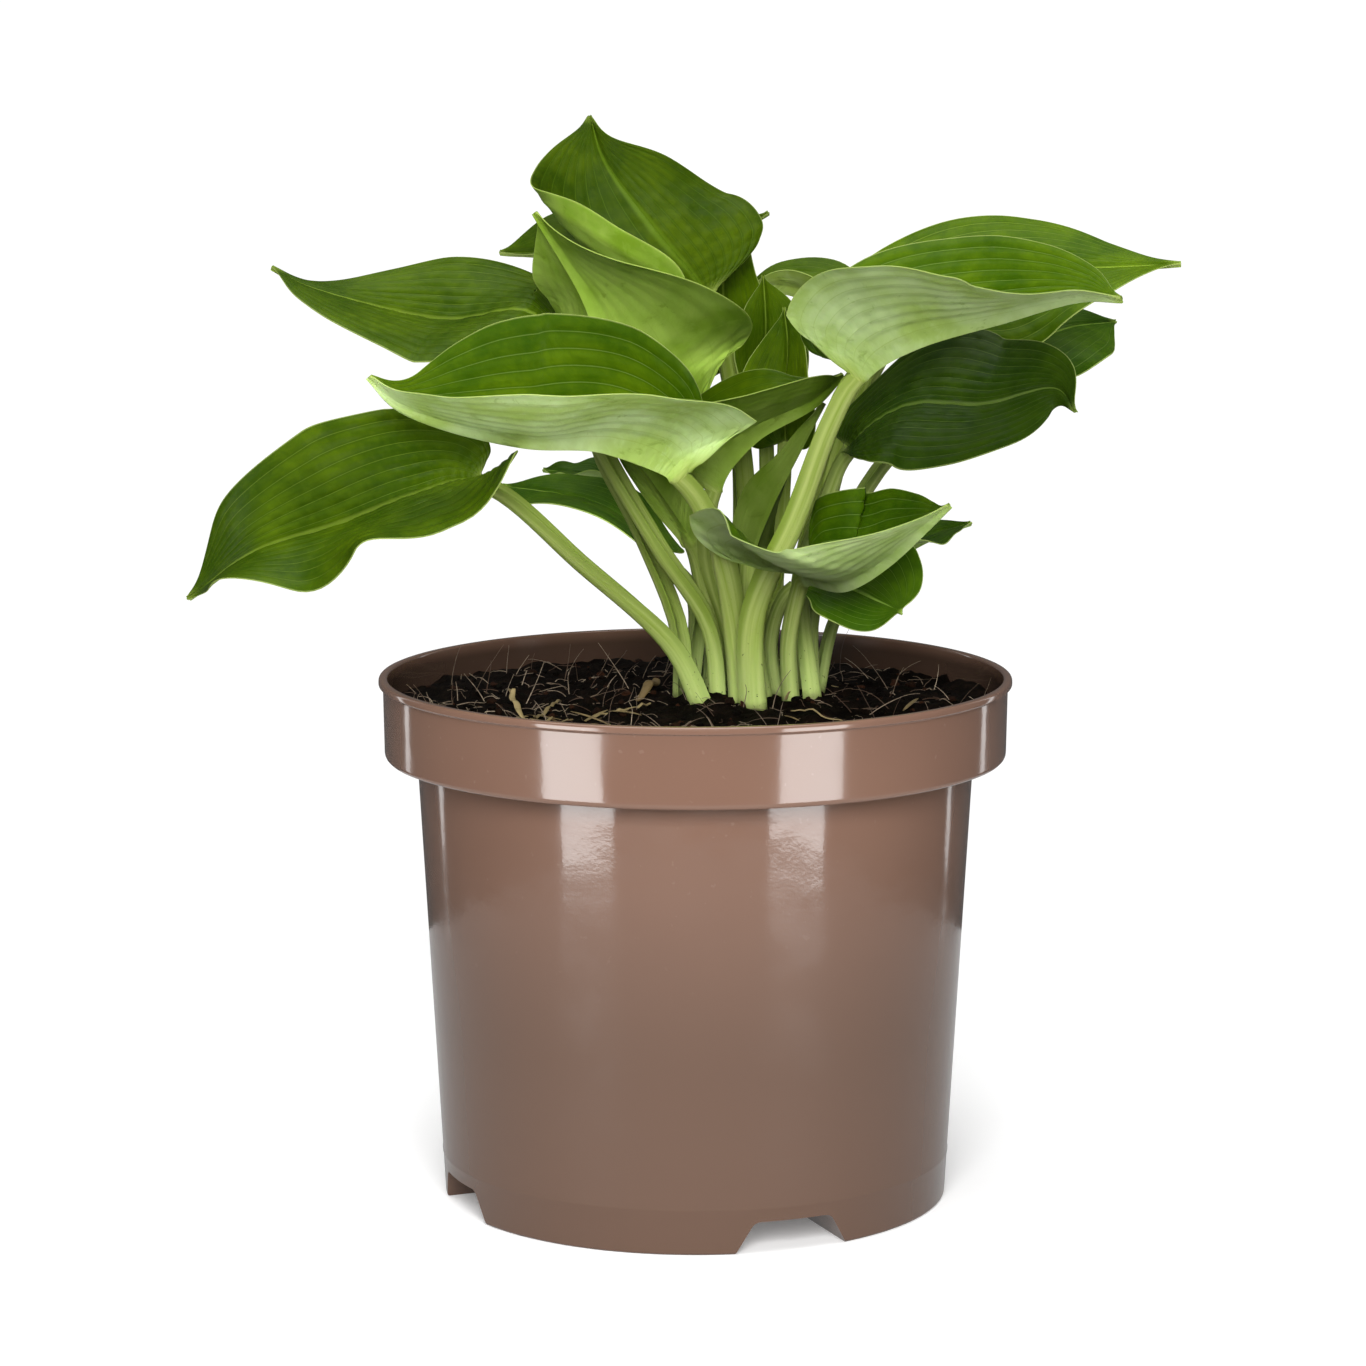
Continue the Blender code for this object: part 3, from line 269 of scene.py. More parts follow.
# ---- leaf ------------------------------------------------------------------------------
class Spine:
    """A leaf's centre line, petiole then midrib, and the way that its upper side looks."""

    def __init__(self, spec, steps=24):
        self.path = curve_through(spec["petiole"] + spec["midrib"], steps)
        lengths = np.linalg.norm(np.diff(self.path, axis=0), axis=1)
        arc = np.concatenate([[0.0], np.cumsum(lengths)])
        self.arc = arc - arc[steps * len(spec["petiole"])]      # 0 at the blade's base
        self.stem = -self.arc[0]
        self.blade = self.arc[-1]
        self.tangent = unit(np.gradient(self.path, self.arc, axis=0))
        root, base, tip = [unit(np.array(v, float)) for v in spec["face"]]
        up_stem = ease(1.0 + self.arc / self.stem)[:, None]
        up_blade = np.clip(self.arc / self.blade, 0.0, 1.0)[:, None]
        self.face = np.where(self.arc[:, None] < 0.0,
                             root * (1.0 - up_stem) + base * up_stem,
                             base * (1.0 - up_blade) + tip * up_blade)

    def frame(self, s, start):
        """Points, tangents, normals and rightward vectors at arc lengths s.

        Below `start` the centre line carries on straight, for the lobes behind the base.
        """
        held = np.clip(s, start, self.blade)
        at = [np.stack([np.interp(held, self.arc, table[:, k]) for k in range(3)], -1)
              for table in (self.path, self.tangent, self.face)]
        tangent = unit(at[1])
        normal = unit(at[2] - np.sum(at[2] * tangent, -1, keepdims=True) * tangent)
        point = at[0] + tangent * (s - held)[..., None]
        return point, normal, np.cross(tangent, normal)


def both_sides(columns):
    """Places across a leaf, from -1 at the left margin to 1 at the right one."""
    return np.concatenate([-np.array(columns[:0:-1]), columns])


def outline_at(rows, steps=10):
    """Margin station, half-width, vein root and lobeless station at `rows` places."""
    knots = np.column_stack([OUTLINE, PLAIN_BASE])
    knot = np.linspace(0.0, len(OUTLINE) - 1.0, rows)
    shaped = curve_through(knots[:, :3], steps)
    plain = curve_through(knots[:, [3, 1]], steps)
    fine = np.linspace(0.0, len(OUTLINE) - 1.0, len(shaped))
    station, width, vein = [np.interp(knot, fine, shaped[:, k]) for k in range(3)]
    return knot, station, np.maximum(width, 0.0), vein, np.interp(knot, fine, plain[:, 0])


def leaf_rows(spec, columns, petiole_rows, blade_rows):
    """The leaf's middle surface as rows of points, and each point's drop to the underside."""
    spine = Spine(spec)
    v = both_sides(columns)
    reach, side, left = np.abs(v), np.sign(v), v < 0.0
    root_half, base_half = spec["stalk"]

    def halves(name):
        return np.where(left, *spec[name])

    rows, drops = [], []
    for s in np.linspace(-spine.stem, 0.0, petiole_rows, endpoint=False):
        point, normal, right = spine.frame(np.full(v.shape, s), spine.arc[0])
        half = base_half + (root_half - base_half) * (-s / spine.stem) ** STALK_TAPER
        across = side * reach ** EDGE_CROWDING
        groove = CHANNEL_DEPTH * half * across ** 2
        rows.append(point + right * (half * across)[:, None] + normal * groove[:, None])
        drops.append(-normal * (KEEL_DEPTH * half * np.sqrt(1.0 - across ** 2))[:, None])

    wave_height, wave_count, wave_start = spec["wave"]
    width, lobe, belly = halves("half"), halves("lobe"), halves("belly")
    height = np.where(left, *wave_height)
    start = np.radians(np.where(left, wave_start, 0.0))
    tip_knot = len(OUTLINE) - 2.0
    for knot, station, outline, vein, plain in zip(*outline_at(blade_rows)):
        opened = ease(knot / BLADE_OPENS)               # 0 a petiole, 1 a flat blade
        edge = np.maximum(width * outline, TIP_HALF_WIDTH * (knot > tip_knot))
        edge = edge + base_half * (1.0 - ease(knot / STALK_FADES))
        u = edge * reach ** (EDGE_CROWDING + (1.0 - EDGE_CROWDING) * opened)
        margin = plain + lobe * (station - plain)
        ahead = np.maximum(margin, 0.0)
        margin = (margin + (ahead ** belly - ahead) * ease(knot / BELLY_COMES)) * spine.blade
        root = vein * spine.blade
        s = root + (margin - root) * reach ** VEIN_SWEEP
        f = s / spine.blade
        point, normal, right = spine.frame(s, 0.0)
        fold, curl = [np.radians(np.where(left, *[along_blade(half, f) for half in spec[bend]]))
                      * opened for bend in ("fold", "curl")]
        curl = curl + LEAST_CURL
        turned = curl * u / width
        out = width / curl * (np.sin(fold + turned) - np.sin(fold))
        rise = width / curl * (np.cos(fold) - np.cos(fold + turned))
        groove = CHANNEL_DEPTH * base_half * np.minimum(1.0, u / base_half) ** 2
        ripple = height * reach ** 2 * np.sin(2.0 * np.pi * wave_count * f + start)
        rise = rise + (1.0 - opened) * groove + opened * ripple * min(1.0, WAVE_REACH * outline)
        rows.append(point + right * (side * out)[:, None] + normal * rise[:, None])
        rib_half = base_half * (1.0 - RIB_TAPER * vein)
        if opened < 1.0:
            rib = base_half * (1.0 - opened) + rib_half * opened
            deep = KEEL_DEPTH * base_half * (1.0 - opened) + RIB_DEPTH * rib_half * opened
            drop = deep * np.sqrt(1.0 - np.minimum(1.0, u / rib) ** 2)
        else:
            drop = RIB_DEPTH * rib_half * np.maximum(0.0, 1.0 - u / (RIB_FOOT * rib_half))
        drops.append(-normal * drop[:, None])
    return np.array(rows), np.array(drops)


def closed_sheet(upper, lower):
    """Points and faces of a closed sheet from its upper and lower grids."""
    count, wide = upper.shape[:2]
    under = count * wide
    grid = np.arange(under).reshape(count, wide)
    a, b, c, d = grid[:-1, :-1], grid[:-1, 1:], grid[1:, 1:], grid[1:, :-1]
    top = np.stack([a, b, c, d], -1).reshape(-1, 4)
    faces = np.concatenate([top, top[:, ::-1] + under])
    rim = np.concatenate([grid[:, 0], grid[-1, 1:], grid[-2::-1, -1], grid[0, -2:0:-1]])
    after = np.roll(rim, -1)
    faces = np.concatenate([faces, np.stack([rim, after, after + under, rim + under], -1)])
    return np.concatenate([upper.reshape(-1, 3), lower.reshape(-1, 3)]), faces.tolist()


# ---- fine leaf -------------------------------------------------------------------------
VEINS = 8                       # on each half of a blade
VEIN_SPREAD = 0.88              # under 1, the veins crowd toward the midrib
PILLOW_HEIGHT = 0.55            # how far the blade rises between two veins
PUCKER_HEIGHT = 0.15
PUCKER_LENGTH = 4.6
PILLOW_FULLNESS = 0.8           # under 1, the valleys are narrower than the pillows
PUCKER_DRIFT = (1.7, 7.0)       # how far the puckers wander, in radians, and their length
RELIEF_GROWS = 2.0              # knots until the relief is full, at base and tip
FLAT_MARGIN = 0.08              # the part of a half that has no pillows
MIDRIB_GROOVE = 0.55
GROOVE_GROWS = 1.5              # knots until the groove is full
LEAST_WIDTH = 0.15              # of the outline, for the groove
SWELL_HEIGHT = 0.55
SWELL_LENGTHS = (9.0, 15.0)
EDGE_RIPPLE = 0.5
EDGE_RIPPLE_LENGTH = 5.5
FINE_THICKNESS = 0.6
EDGE_THINNING = 0.5             # the part of it that is gone at the margin
FULL_RELIEF = 24.0              # a narrower half has a lower relief
GROOVE_WIDTH = 1.1              # of the midrib's groove
LARGE_GRID = (30, 26, 110)      # columns on a half, rows on the petiole, rows on the blade
SMALL_GRID = (18, 20, 66)
GREEN_STARTS = 0.2              # the knot where the stalk's colours give way to the blade's
GREEN_COMES = 2.8               # and the knots until they are gone
COLUMN_CROWDING = 1.1           # over 1, the columns crowd toward the midrib


def relief(spec, columns, petiole_rows, blade_rows, rng):
    """Height of the upper side's pattern over the middle surface: veins, pillows, puckers."""
    v = both_sides(columns)
    reach = np.abs(v)[None, :]
    last = len(OUTLINE) - 1.0
    knot = np.linspace(0.0, last, blade_rows)[:, None]
    width = outline_at(blade_rows)[2][:, None]
    phase = VEINS * reach ** VEIN_SPREAD
    strip = np.minimum(phase.astype(int), VEINS - 1)
    pillow = np.abs(np.sin(np.pi * phase)) ** PILLOW_FULLNESS
    grown = ease(knot / RELIEF_GROWS) * ease((last - knot) / RELIEF_GROWS) * width
    half = np.where(v < 0.0, *spec["half"])[None, :]
    grown = grown * np.minimum(1.0, half / FULL_RELIEF)
    height = PILLOW_HEIGHT * pillow * grown * ease((1.0 - reach) / FLAT_MARGIN)
    start = rng.uniform(0.0, 2.0 * np.pi, (2, VEINS))
    side = (v > 0.0).astype(int)[None, :]
    along = knot / last * Spine(spec).blade
    drift = start[side, strip]
    sway, sway_length = PUCKER_DRIFT
    wander = drift + sway * np.sin(along / sway_length + drift)
    ripple = np.sin(2.0 * np.pi * along / PUCKER_LENGTH + wander)
    height = height + PUCKER_HEIGHT * ripple * pillow * grown
    groove = np.exp(-(reach * half * np.maximum(width, LEAST_WIDTH) / GROOVE_WIDTH) ** 2)
    height = height - MIDRIB_GROOVE * groove * ease(knot / GROOVE_GROWS)
    swell = rng.uniform(0.0, 2.0 * np.pi, 4)
    short, long = SWELL_LENGTHS
    wide = np.sin(along / short + 2.0 * v + swell[0]) * np.sin(along / long - 3.0 * v + swell[1])
    ruffle = EDGE_RIPPLE * reach ** 4 * np.sin(along / EDGE_RIPPLE_LENGTH + swell[2 + side])
    height = height + (SWELL_HEIGHT * wide + ruffle) * grown
    return np.concatenate([np.zeros((petiole_rows, len(v))), height])


def fine_leaf(name, spec, look, seed):
    """A closed blade and stalk with relief, and the attributes that its material reads."""
    rng = np.random.default_rng(seed)
    spine = Spine(spec)
    grid = LARGE_GRID if spine.blade > SMALL_BLADE else SMALL_GRID
    half_columns, petiole_rows, blade_rows = grid
    columns = tuple(np.linspace(0.0, 1.0, half_columns + 1) ** COLUMN_CROWDING)
    middle, drop = leaf_rows(spec, columns, petiole_rows, blade_rows)
    normal = unit(np.cross(np.gradient(middle, axis=1), np.gradient(middle, axis=0)))
    normal[-1] = normal[-2]
    middle = middle + normal * relief(spec, columns, petiole_rows, blade_rows, rng)[..., None]
    v = both_sides(columns)
    thick = FINE_THICKNESS * (1.0 - EDGE_THINNING * np.abs(v) ** 6)[None, :, None]
    upper = middle + normal * thick / 2.0
    lower = middle - normal * thick / 2.0 + drop
    lean = unit(middle[1].mean(axis=0) - middle[0].mean(axis=0))
    for foot in (upper[0], lower[0]):
        foot += lean * ((ROOT_LEVEL - foot[:, 2]) / lean[2])[:, None]
    points, faces = closed_sheet(upper, lower)
    piece = add_mesh(name + "_fine", points, faces, look)
    last = len(OUTLINE) - 1.0
    knot = np.linspace(0.0, last, blade_rows)
    stations = np.concatenate([np.linspace(-spine.stem, 0.0, petiole_rows, endpoint=False),
                               knot / last * spine.blade])
    opened = np.concatenate([np.zeros(petiole_rows), ease((knot - GREEN_STARTS) / GREEN_COMES)])
    share = np.clip(stations / spine.blade, -1.0, 1.0)

    def both(values):
        """A value for each point of the upper grid and then of the lower one."""
        return np.tile(np.broadcast_to(values, middle.shape[:2]).ravel(), 2)

    for key, values in (("across", v), ("along", stations[:, None]),
                        ("opened", opened[:, None]), ("share", share[:, None])):
        set_attribute(piece, key, both(values))
    count = middle[..., 0].size
    set_attribute(piece, "upper", np.repeat([1.0, 0.0], count))
    # Painted light: the leaf's own gains lighten a shaded blade and darken an over-lit one; the
    # stalk keeps a gain of 1.
    painted_light_gain = np.repeat(spec["painted_light_gains"], count)
    set_attribute(piece, "painted_light_gain", 1.0 + (painted_light_gain - 1.0) * both(opened[:, None]))
    return piece


def set_attribute(piece, key, values):
    attribute = piece.data.attributes.new(key, "FLOAT", "POINT")
    attribute.data.foreach_set("value", np.ascontiguousarray(values, np.float32))


# ---- Blender helpers -------------------------------------------------------------------
def add_mesh(name, points, faces, look=None):
    """A smooth-shaded object from points in millimetres."""
    mesh = bpy.data.meshes.new(name)
    mesh.from_pydata((np.asarray(points) * MILLIMETRE).tolist(), [], faces)
    mesh.shade_smooth()
    mesh.set_sharp_from_angle(angle=np.radians(SHARP_ANGLE))
    made = bpy.data.objects.new(name, mesh)
    bpy.context.scene.collection.objects.link(made)
    if look:
        mesh.materials.append(look)
    return made


def add_turned(name, profile, segments, look=None):
    """Spin a profile of (radius, height) points, from the axis below to the axis above."""
    turn = np.linspace(0.0, 2.0 * np.pi, segments, endpoint=False)
    ring = np.column_stack([np.cos(turn), np.sin(turn)])
    points = [(0.0, 0.0, profile[0][1])]
    for radius, height in profile[1:-1]:
        points += [(x * radius, y * radius, height) for x, y in ring]
    points.append((0.0, 0.0, profile[-1][1]))
    top = len(points) - 1
    last = top - segments
    faces = []
    for j in range(segments):
        k = (j + 1) % segments
        faces += [(0, 1 + k, 1 + j), (top, last + j, last + k)]
        for row in range(1, last, segments):
            faces.append((row + j, row + k, row + segments + k, row + segments + j))
    return add_mesh(name, points, faces, look)


def boolean(target, cutter, operation):
    """Apply an exact Boolean now, and drop the cutter."""
    change = target.modifiers.new(operation, "BOOLEAN")
    change.object = cutter
    change.operation = operation
    change.solver = "EXACT"
    bpy.context.view_layer.update()
    evaluated = target.evaluated_get(bpy.context.evaluated_depsgraph_get())
    result = bpy.data.meshes.new_from_object(evaluated)
    target.modifiers.remove(change)
    target.data = result
    bpy.data.objects.remove(cutter, do_unlink=True)


def add_bits(name, bits, look, tones):
    """One object from many small (points, faces) bits, each with its own tone."""
    points, faces, total = [], [], 0
    for bit_points, bit_faces in bits:
        faces += [tuple(total + index for index in face) for face in bit_faces]
        points.append(bit_points)
        total += len(bit_points)
    piece = add_mesh(name, np.concatenate(points), faces, look)
    set_attribute(piece, "tone", np.repeat(tones, [len(p) for p in points]))
    return piece


ASKEW = (0.13, 0.21, 1.0)       # a way that no tube runs


def tube(path, radii, sides=5, flat=1.0):
    """A closed tube along a path; `flat` squeezes its section."""
    path = np.asarray(path, float)
    tangent = unit(np.gradient(path, axis=0))
    side = unit(np.cross(tangent, ASKEW))
    up = np.cross(side, tangent)
    turn = np.linspace(0.0, 2.0 * np.pi, sides, endpoint=False)
    ring = np.cos(turn)[None, :, None] * side[:, None, :]
    ring = ring + flat * np.sin(turn)[None, :, None] * up[:, None, :]
    points = (path[:, None, :] + ring * np.asarray(radii)[:, None, None]).reshape(-1, 3)
    rows = len(path)
    faces = [tuple(range(sides - 1, -1, -1)), tuple(range((rows - 1) * sides, rows * sides))]
    for i in range(rows - 1):
        for j in range(sides):
            k = (j + 1) % sides
            faces.append((i * sides + j, i * sides + k, (i + 1) * sides + k, (i + 1) * sides + j))
    return points, faces


def repaint(piece, look):
    piece.data.materials.clear()
    piece.data.materials.append(look)


def claim(piece, slot, *nodes):
    """Ride the one body and stand for the named CAD nodes; `slot` is not used."""
    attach(piece, ROOT)
    if nodes:
        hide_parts(*nodes)


# ---- looks -----------------------------------------------------------------------------
def colour(red, green, blue):
    """A linear colour from a screen colour of 0 to 255."""
    screen = np.array([red, green, blue]) / 255.0
    linear = np.where(screen < 0.04045, screen / 12.92, ((screen + 0.055) / 1.055) ** 2.4)
    return (*linear.tolist(), 1.0)


class Nodes:
    """A node tree, built node by node."""

    def __init__(self, tree):
        self.tree = tree

    def node(self, kind, *sources, **settings):
        made = self.tree.nodes.new("ShaderNode" + kind)
        for key, value in settings.items():
            setattr(made, key, value)
        for socket, source in zip(made.inputs, sources):
            self.feed(socket, source)
        return made

    def feed(self, socket, source):
        if isinstance(source, bpy.types.NodeSocket):
            self.tree.links.new(source, socket)
        elif source is not None:
            socket.default_value = source

    def math(self, operation, *values):
        return self.node("Math", *values, operation=operation).outputs[0]

    def attribute(self, name):
        return self.node("Attribute", attribute_name=name).outputs["Fac"]

    def span(self, value, low, high, start=0.0, end=1.0):
        """Smooth step from `start` to `end` as value goes from low to high."""
        return self.node("MapRange", value, low, high, start, end,
                         interpolation_type="SMOOTHSTEP").outputs[0]

    def noise(self, scale, detail=3.0, roughness=0.55, vector=None, distortion=0.0):
        vector = vector or self.node("TexCoord").outputs["Object"]
        made = self.node("TexNoise", vector, noise_dimensions="3D")
        for key, value in (("Scale", scale), ("Detail", detail), ("Roughness", roughness),
                           ("Distortion", distortion)):
            made.inputs[key].default_value = value
        return made.outputs["Fac"]

    def point(self, *parts):
        return self.node("CombineXYZ", *parts).outputs[0]

    def mix(self, factor, first, second, blend="MIX"):
        made = self.node("Mix", data_type="RGBA", blend_type=blend)
        for index, source in ((0, factor), (6, first), (7, second)):
            self.feed(made.inputs[index], source)
        return made.outputs[2]

    def stain(self, base, *layers):
        """Cover the base with up to `most` of each layer's colour, where its factor is 1."""
        for over, factor, most in layers:
            base = self.mix(self.math("MULTIPLY", factor, most), base, over)
        return base

    def bump(self, height, distance, strength=1.0, after=None):
        made = self.node("Bump")
        for key, source in (("Strength", strength), ("Distance", distance), ("Height", height),
                            ("Normal", after)):
            self.feed(made.inputs[key], source)
        return made.outputs[0]


class Look(Nodes):
    """A procedural material."""

    def __init__(self, name, **sources):
        self.material = bpy.data.materials.new(name)
        self.material.use_nodes = True
        super().__init__(self.material.node_tree)
        self.shader = self.tree.nodes["Principled BSDF"]
        self.wire(**sources)

    def wire(self, **sources):
        for key, source in sources.items():
            self.feed(self.shader.inputs[key.replace("_", " ")], source)
        return self.material


STALK_PALE = (0.150, 0.178)     # heights in metres, between which a stalk's pale foot ends
STALK_SPECKED = (0.150, 0.190)
STALK_MUDDY = (0.1515, 0.1560)
PALE_GREEN, SPECK, MUD = colour(186, 205, 128), colour(40, 28, 20), colour(46, 38, 24)


def leaf_look(name, dark, light, under, bloom, stalk, pale_stalk):
    """A hosta leaf: veined green above, bloomed below, a striped stalk, a pale margin."""
    look = Look(name, Subsurface_Weight=0.08, Subsurface_Scale=0.0012,
                Subsurface_Radius=(0.5, 1.0, 0.15), Specular_IOR_Level=0.06)
    across, along, opened, upper, share = [look.attribute(key) for key in (
        "across", "along", "opened", "upper", "share")]
    reach = look.math("ABSOLUTE", across)
    phase = look.math("MULTIPLY", look.math("POWER", reach, VEIN_SPREAD), float(VEINS))
    beside = look.math("PINGPONG", phase, 0.5)
    valley = look.span(beside, 0.0, 0.22, 1.0, 0.0)
    line = look.span(beside, 0.012, 0.045, 1.0, 0.0)
    broad = look.noise(55.0, 2.0, 0.5)
    fine = look.noise(300.0, 3.0, 0.6)
    cells = look.noise(1.0, 3.0, 0.6, look.point(
        look.math("MULTIPLY", along, 0.42), look.math("MULTIPLY", phase, 0.9), across))
    streaks = look.span(cells, 0.40, 0.60)
    gaps = look.math("SUBTRACT", 1.0, streaks)

    top = look.stain(
        dark, (light, look.span(broad, 0.3, 0.75), 0.7), (light, look.span(fine, 0.35, 0.75), 0.25),
        (dark, valley, 0.6), (dark, gaps, 0.30), (under, line, 0.22),
        (under, look.span(reach, 0.012, 0.05, 1.0, 0.0), 0.45))
    powder = look.noise(140.0, 5.0, 0.7, distortion=0.6)
    bottom = look.stain(
        look.mix(look.span(broad, 0.3, 0.7), under, bloom),
        (bloom, look.span(powder, 0.50, 0.66), 0.35),
        (light, look.span(powder, 0.30, 0.42, 1.0, 0.0), 0.4), (stalk, line, 0.30),
        (light, gaps, 0.10))
    blade = look.stain(look.mix(upper, bottom, top), (stalk, look.span(share, 0.93, 1.0), 0.55),
                       (pale_stalk, look.span(reach, 0.984, 0.998), 0.4))

    stripe = look.noise(1.0, 2.0, 0.5, look.point(
        look.math("MULTIPLY", across, 3.5), look.math("MULTIPLY", along, 0.018), upper))
    height = look.node("SeparateXYZ", look.node("TexCoord").outputs["Object"]).outputs[2]
    stem = look.stain(
        look.mix(look.span(stripe, 0.2, 0.8), stalk, pale_stalk),
        (light, look.span(reach, 0.80, 1.0), 0.5), (light, upper, 0.35),
        (PALE_GREEN, look.span(height, *STALK_PALE, 1.0, 0.0), 0.45))
    dirt = look.noise(900.0, 2.0, 0.6)
    specks = look.math("MULTIPLY", look.span(dirt, 0.68, 0.74),
                       look.span(height, *STALK_SPECKED, 1.0, 0.15))
    stem = look.mix(specks, stem, SPECK)
    uneven = look.math("ADD", height, look.math("MULTIPLY", fine, 0.004))
    stem = look.mix(look.span(uneven, *STALK_MUDDY, 0.75, 0.0), stem, MUD)
    # Painted light: the colour is multiplied by the leaf's gain, which stands in for the light and
    # shade on that leaf.
    body = look.mix(1.0, look.mix(opened, stem, blade), look.attribute("painted_light_gain"), "MULTIPLY")

    rough = look.math("ADD", look.span(upper, 0.0, 1.0, 0.56, 0.40),
                      look.math("MULTIPLY", fine, 0.08))
    grain = look.math("ADD", look.math("MULTIPLY", fine, 0.6), look.math("MULTIPLY", streaks, 0.5))
    normal = look.bump(grain, 0.00012, 0.6)
    return look.wire(Base_Color=body, Roughness=rough, Normal=normal)


def soil_look():
    look = Look("soil_peat", Roughness=0.92, Specular_IOR_Level=0.1)
    lumps = look.noise(240.0, 5.0, 0.65)
    grains = look.noise(1100.0, 4.0, 0.7)
    tint = look.mix(look.span(lumps, 0.42, 0.68), colour(6, 4, 3), colour(20, 13, 9))
    tint = look.stain(tint, (colour(44, 29, 20), look.span(grains, 0.58, 0.72), 0.4))
    height = look.math("ADD", lumps, look.math("MULTIPLY", grains, 0.35))
    return look.wire(Base_Color=tint, Normal=look.bump(height, 0.0012))


def bits_look(name, dark, light, patch, grain, patchy, relief, darkest=0.0, **sockets):
    """Small bits of soil: a colour for each bit's tone, with patches of a third colour."""
    look = Look(name, **sockets)
    tone = look.attribute("tone")
    grains = look.noise(*grain)
    if darkest:
        tone = look.span(tone, darkest, 1.0)
    low, high, most = patchy
    tint = look.mix(tone, colour(*dark), colour(*light))
    tint = look.stain(tint, (colour(*patch), look.span(grains, low, high), most))
    if relief:
        look.wire(Normal=look.bump(grains, relief))
    return look.wire(Base_Color=tint)


def crumb_look():
    return bits_look("soil_crumb", (7, 5, 4), (46, 27, 17), (24, 15, 11), (1400.0, 4.0, 0.7),
                     (0.5, 0.7, 0.3), 0.0006, darkest=0.62, Roughness=0.9, Specular_IOR_Level=0.15)


def fibre_look():
    return bits_look("soil_fibre", (60, 42, 31), (152, 137, 117), (60, 44, 34),
                     (700.0, 3.0, 0.6), (0.45, 0.65, 0.5), 0.0, Roughness=0.7)


def straw_look():
    return bits_look("soil_straw", (84, 66, 38), (148, 131, 92), (62, 44, 24),
                     (500.0, 4.0, 0.6), (0.5, 0.7, 0.5), 0.0003, Roughness=0.6)


def crown_look():
    look = Look("crown_fibrous", Roughness=0.8)
    grains = look.noise(420.0, 4.0, 0.6)
    tint = look.mix(look.span(grains, 0.4, 0.65), colour(58, 52, 28), colour(116, 110, 58))
    return look.wire(Base_Color=tint, Normal=look.bump(grains, 0.0006))


FOOT_SHADE = (0.05, 0.145)      # heights in metres, between which the foot's darker tint ends
INNER_SHADE_RADII = (0.0925, 0.0932)     # in metres: painted shade darkens the pot's inside, not its outside
INNER_SHADE_FROM = (0.1350, 0.1360)
INNER_SHADE_TO = (0.1540, 0.1584)


def pot_look():
    look = Look("pot_glossy", IOR=1.5, Coat_Weight=0.4, Coat_Roughness=0.03)
    cloud = look.noise(9.0, 3.0, 0.5)
    specks = look.noise(420.0, 2.0, 0.5)
    tint = look.mix(look.span(cloud, 0.3, 0.7), colour(115, 87, 73), colour(121, 92, 77))
    tint = look.stain(tint, (colour(160, 136, 124), look.span(specks, 0.70, 0.76), 0.15))
    place = look.node("TexCoord").outputs["Object"]
    x, y, z = look.node("SeparateXYZ", place).outputs
    tint = look.mix(look.span(z, *FOOT_SHADE, 1.0, 0.0), tint, colour(88, 66, 53))
    squares = [look.math("MULTIPLY", side, side) for side in (x, y)]
    from_axis = look.math("SQRT", look.math("ADD", *squares))
    # Painted shade: the pot's inside over the soil is darkened, strongest low down and less up to
    # the lip.
    inner_shade = look.math("MULTIPLY", look.span(from_axis, *INNER_SHADE_RADII, 1.0, 0.0),
                       look.span(z, *INNER_SHADE_FROM))
    inner_shade = look.math("MULTIPLY", inner_shade, look.span(z, *INNER_SHADE_TO, 0.75, 0.3))
    tint = look.mix(inner_shade, tint, colour(27, 22, 17))
    scuffs = look.noise(60.0, 4.0, 0.6)
    rough = look.span(scuffs, 0.35, 0.75, 0.10, 0.16)
    waves = look.noise(48.0, 2.0, 0.5)
    fine = look.noise(900.0, 2.0, 0.5)
    normal = look.bump(waves, 0.0010, 0.12)
    normal = look.bump(fine, 0.00003, 0.3, after=normal)
    return look.wire(Base_Color=tint, Roughness=rough, Normal=normal, Coat_Normal=normal)


# ---- pot -------------------------------------------------------------------------------
SEAM_LEVEL = 13.5               # a faint moulded line low on the wall
SEAM_PROUD = 0.16
SEAM_SHAPE = ((-0.9, 0.0), (-0.3, 1.0), (0.3, 1.0), (1.2, 0.0))     # up the wall, and out of it
DRAIN_SIDES = 32
LIP_ROUND = 1.1


def corner(before, at, after, radius, steps=5):
    """Points that round a profile's corner."""
    before, at, after = [np.array(p, float) for p in (before, at, after)]
    start = at + unit(before - at) * radius
    end = at + unit(after - at) * radius
    t = np.linspace(0.0, 1.0, steps + 1)[:, None]
    return [tuple(p) for p in (1 - t) ** 2 * start + 2 * t * (1 - t) * at + t ** 2 * end]


def rounded(profile, radii):
    """A profile with each inner point's corner rounded by its radius."""
    made = [profile[0]]
    for k in range(1, len(profile) - 1):
        made += corner(*profile[k - 1:k + 2], radii[k]) if radii[k] else [profile[k]]
    return made + [profile[-1]]


def collar_bottom():
    return POT_HEIGHT - COLLAR_HEIGHT


def inner_profile(gap):
    """The inside of the pot's wall from the floor up, moved inward by `gap`."""
    shoulder = collar_bottom() + WALL
    collar = RIM_RADIUS - LIP_PROUD - WALL - gap
    return [(BASE_RADIUS - WALL - gap, WALL + gap),
            (BODY_TOP_RADIUS - WALL - gap, shoulder + gap - EDGE_ROUND),
            (BODY_TOP_RADIUS - WALL - gap + EDGE_ROUND, shoulder + gap),
            (collar - COLLAR_TAPER, shoulder + gap)]


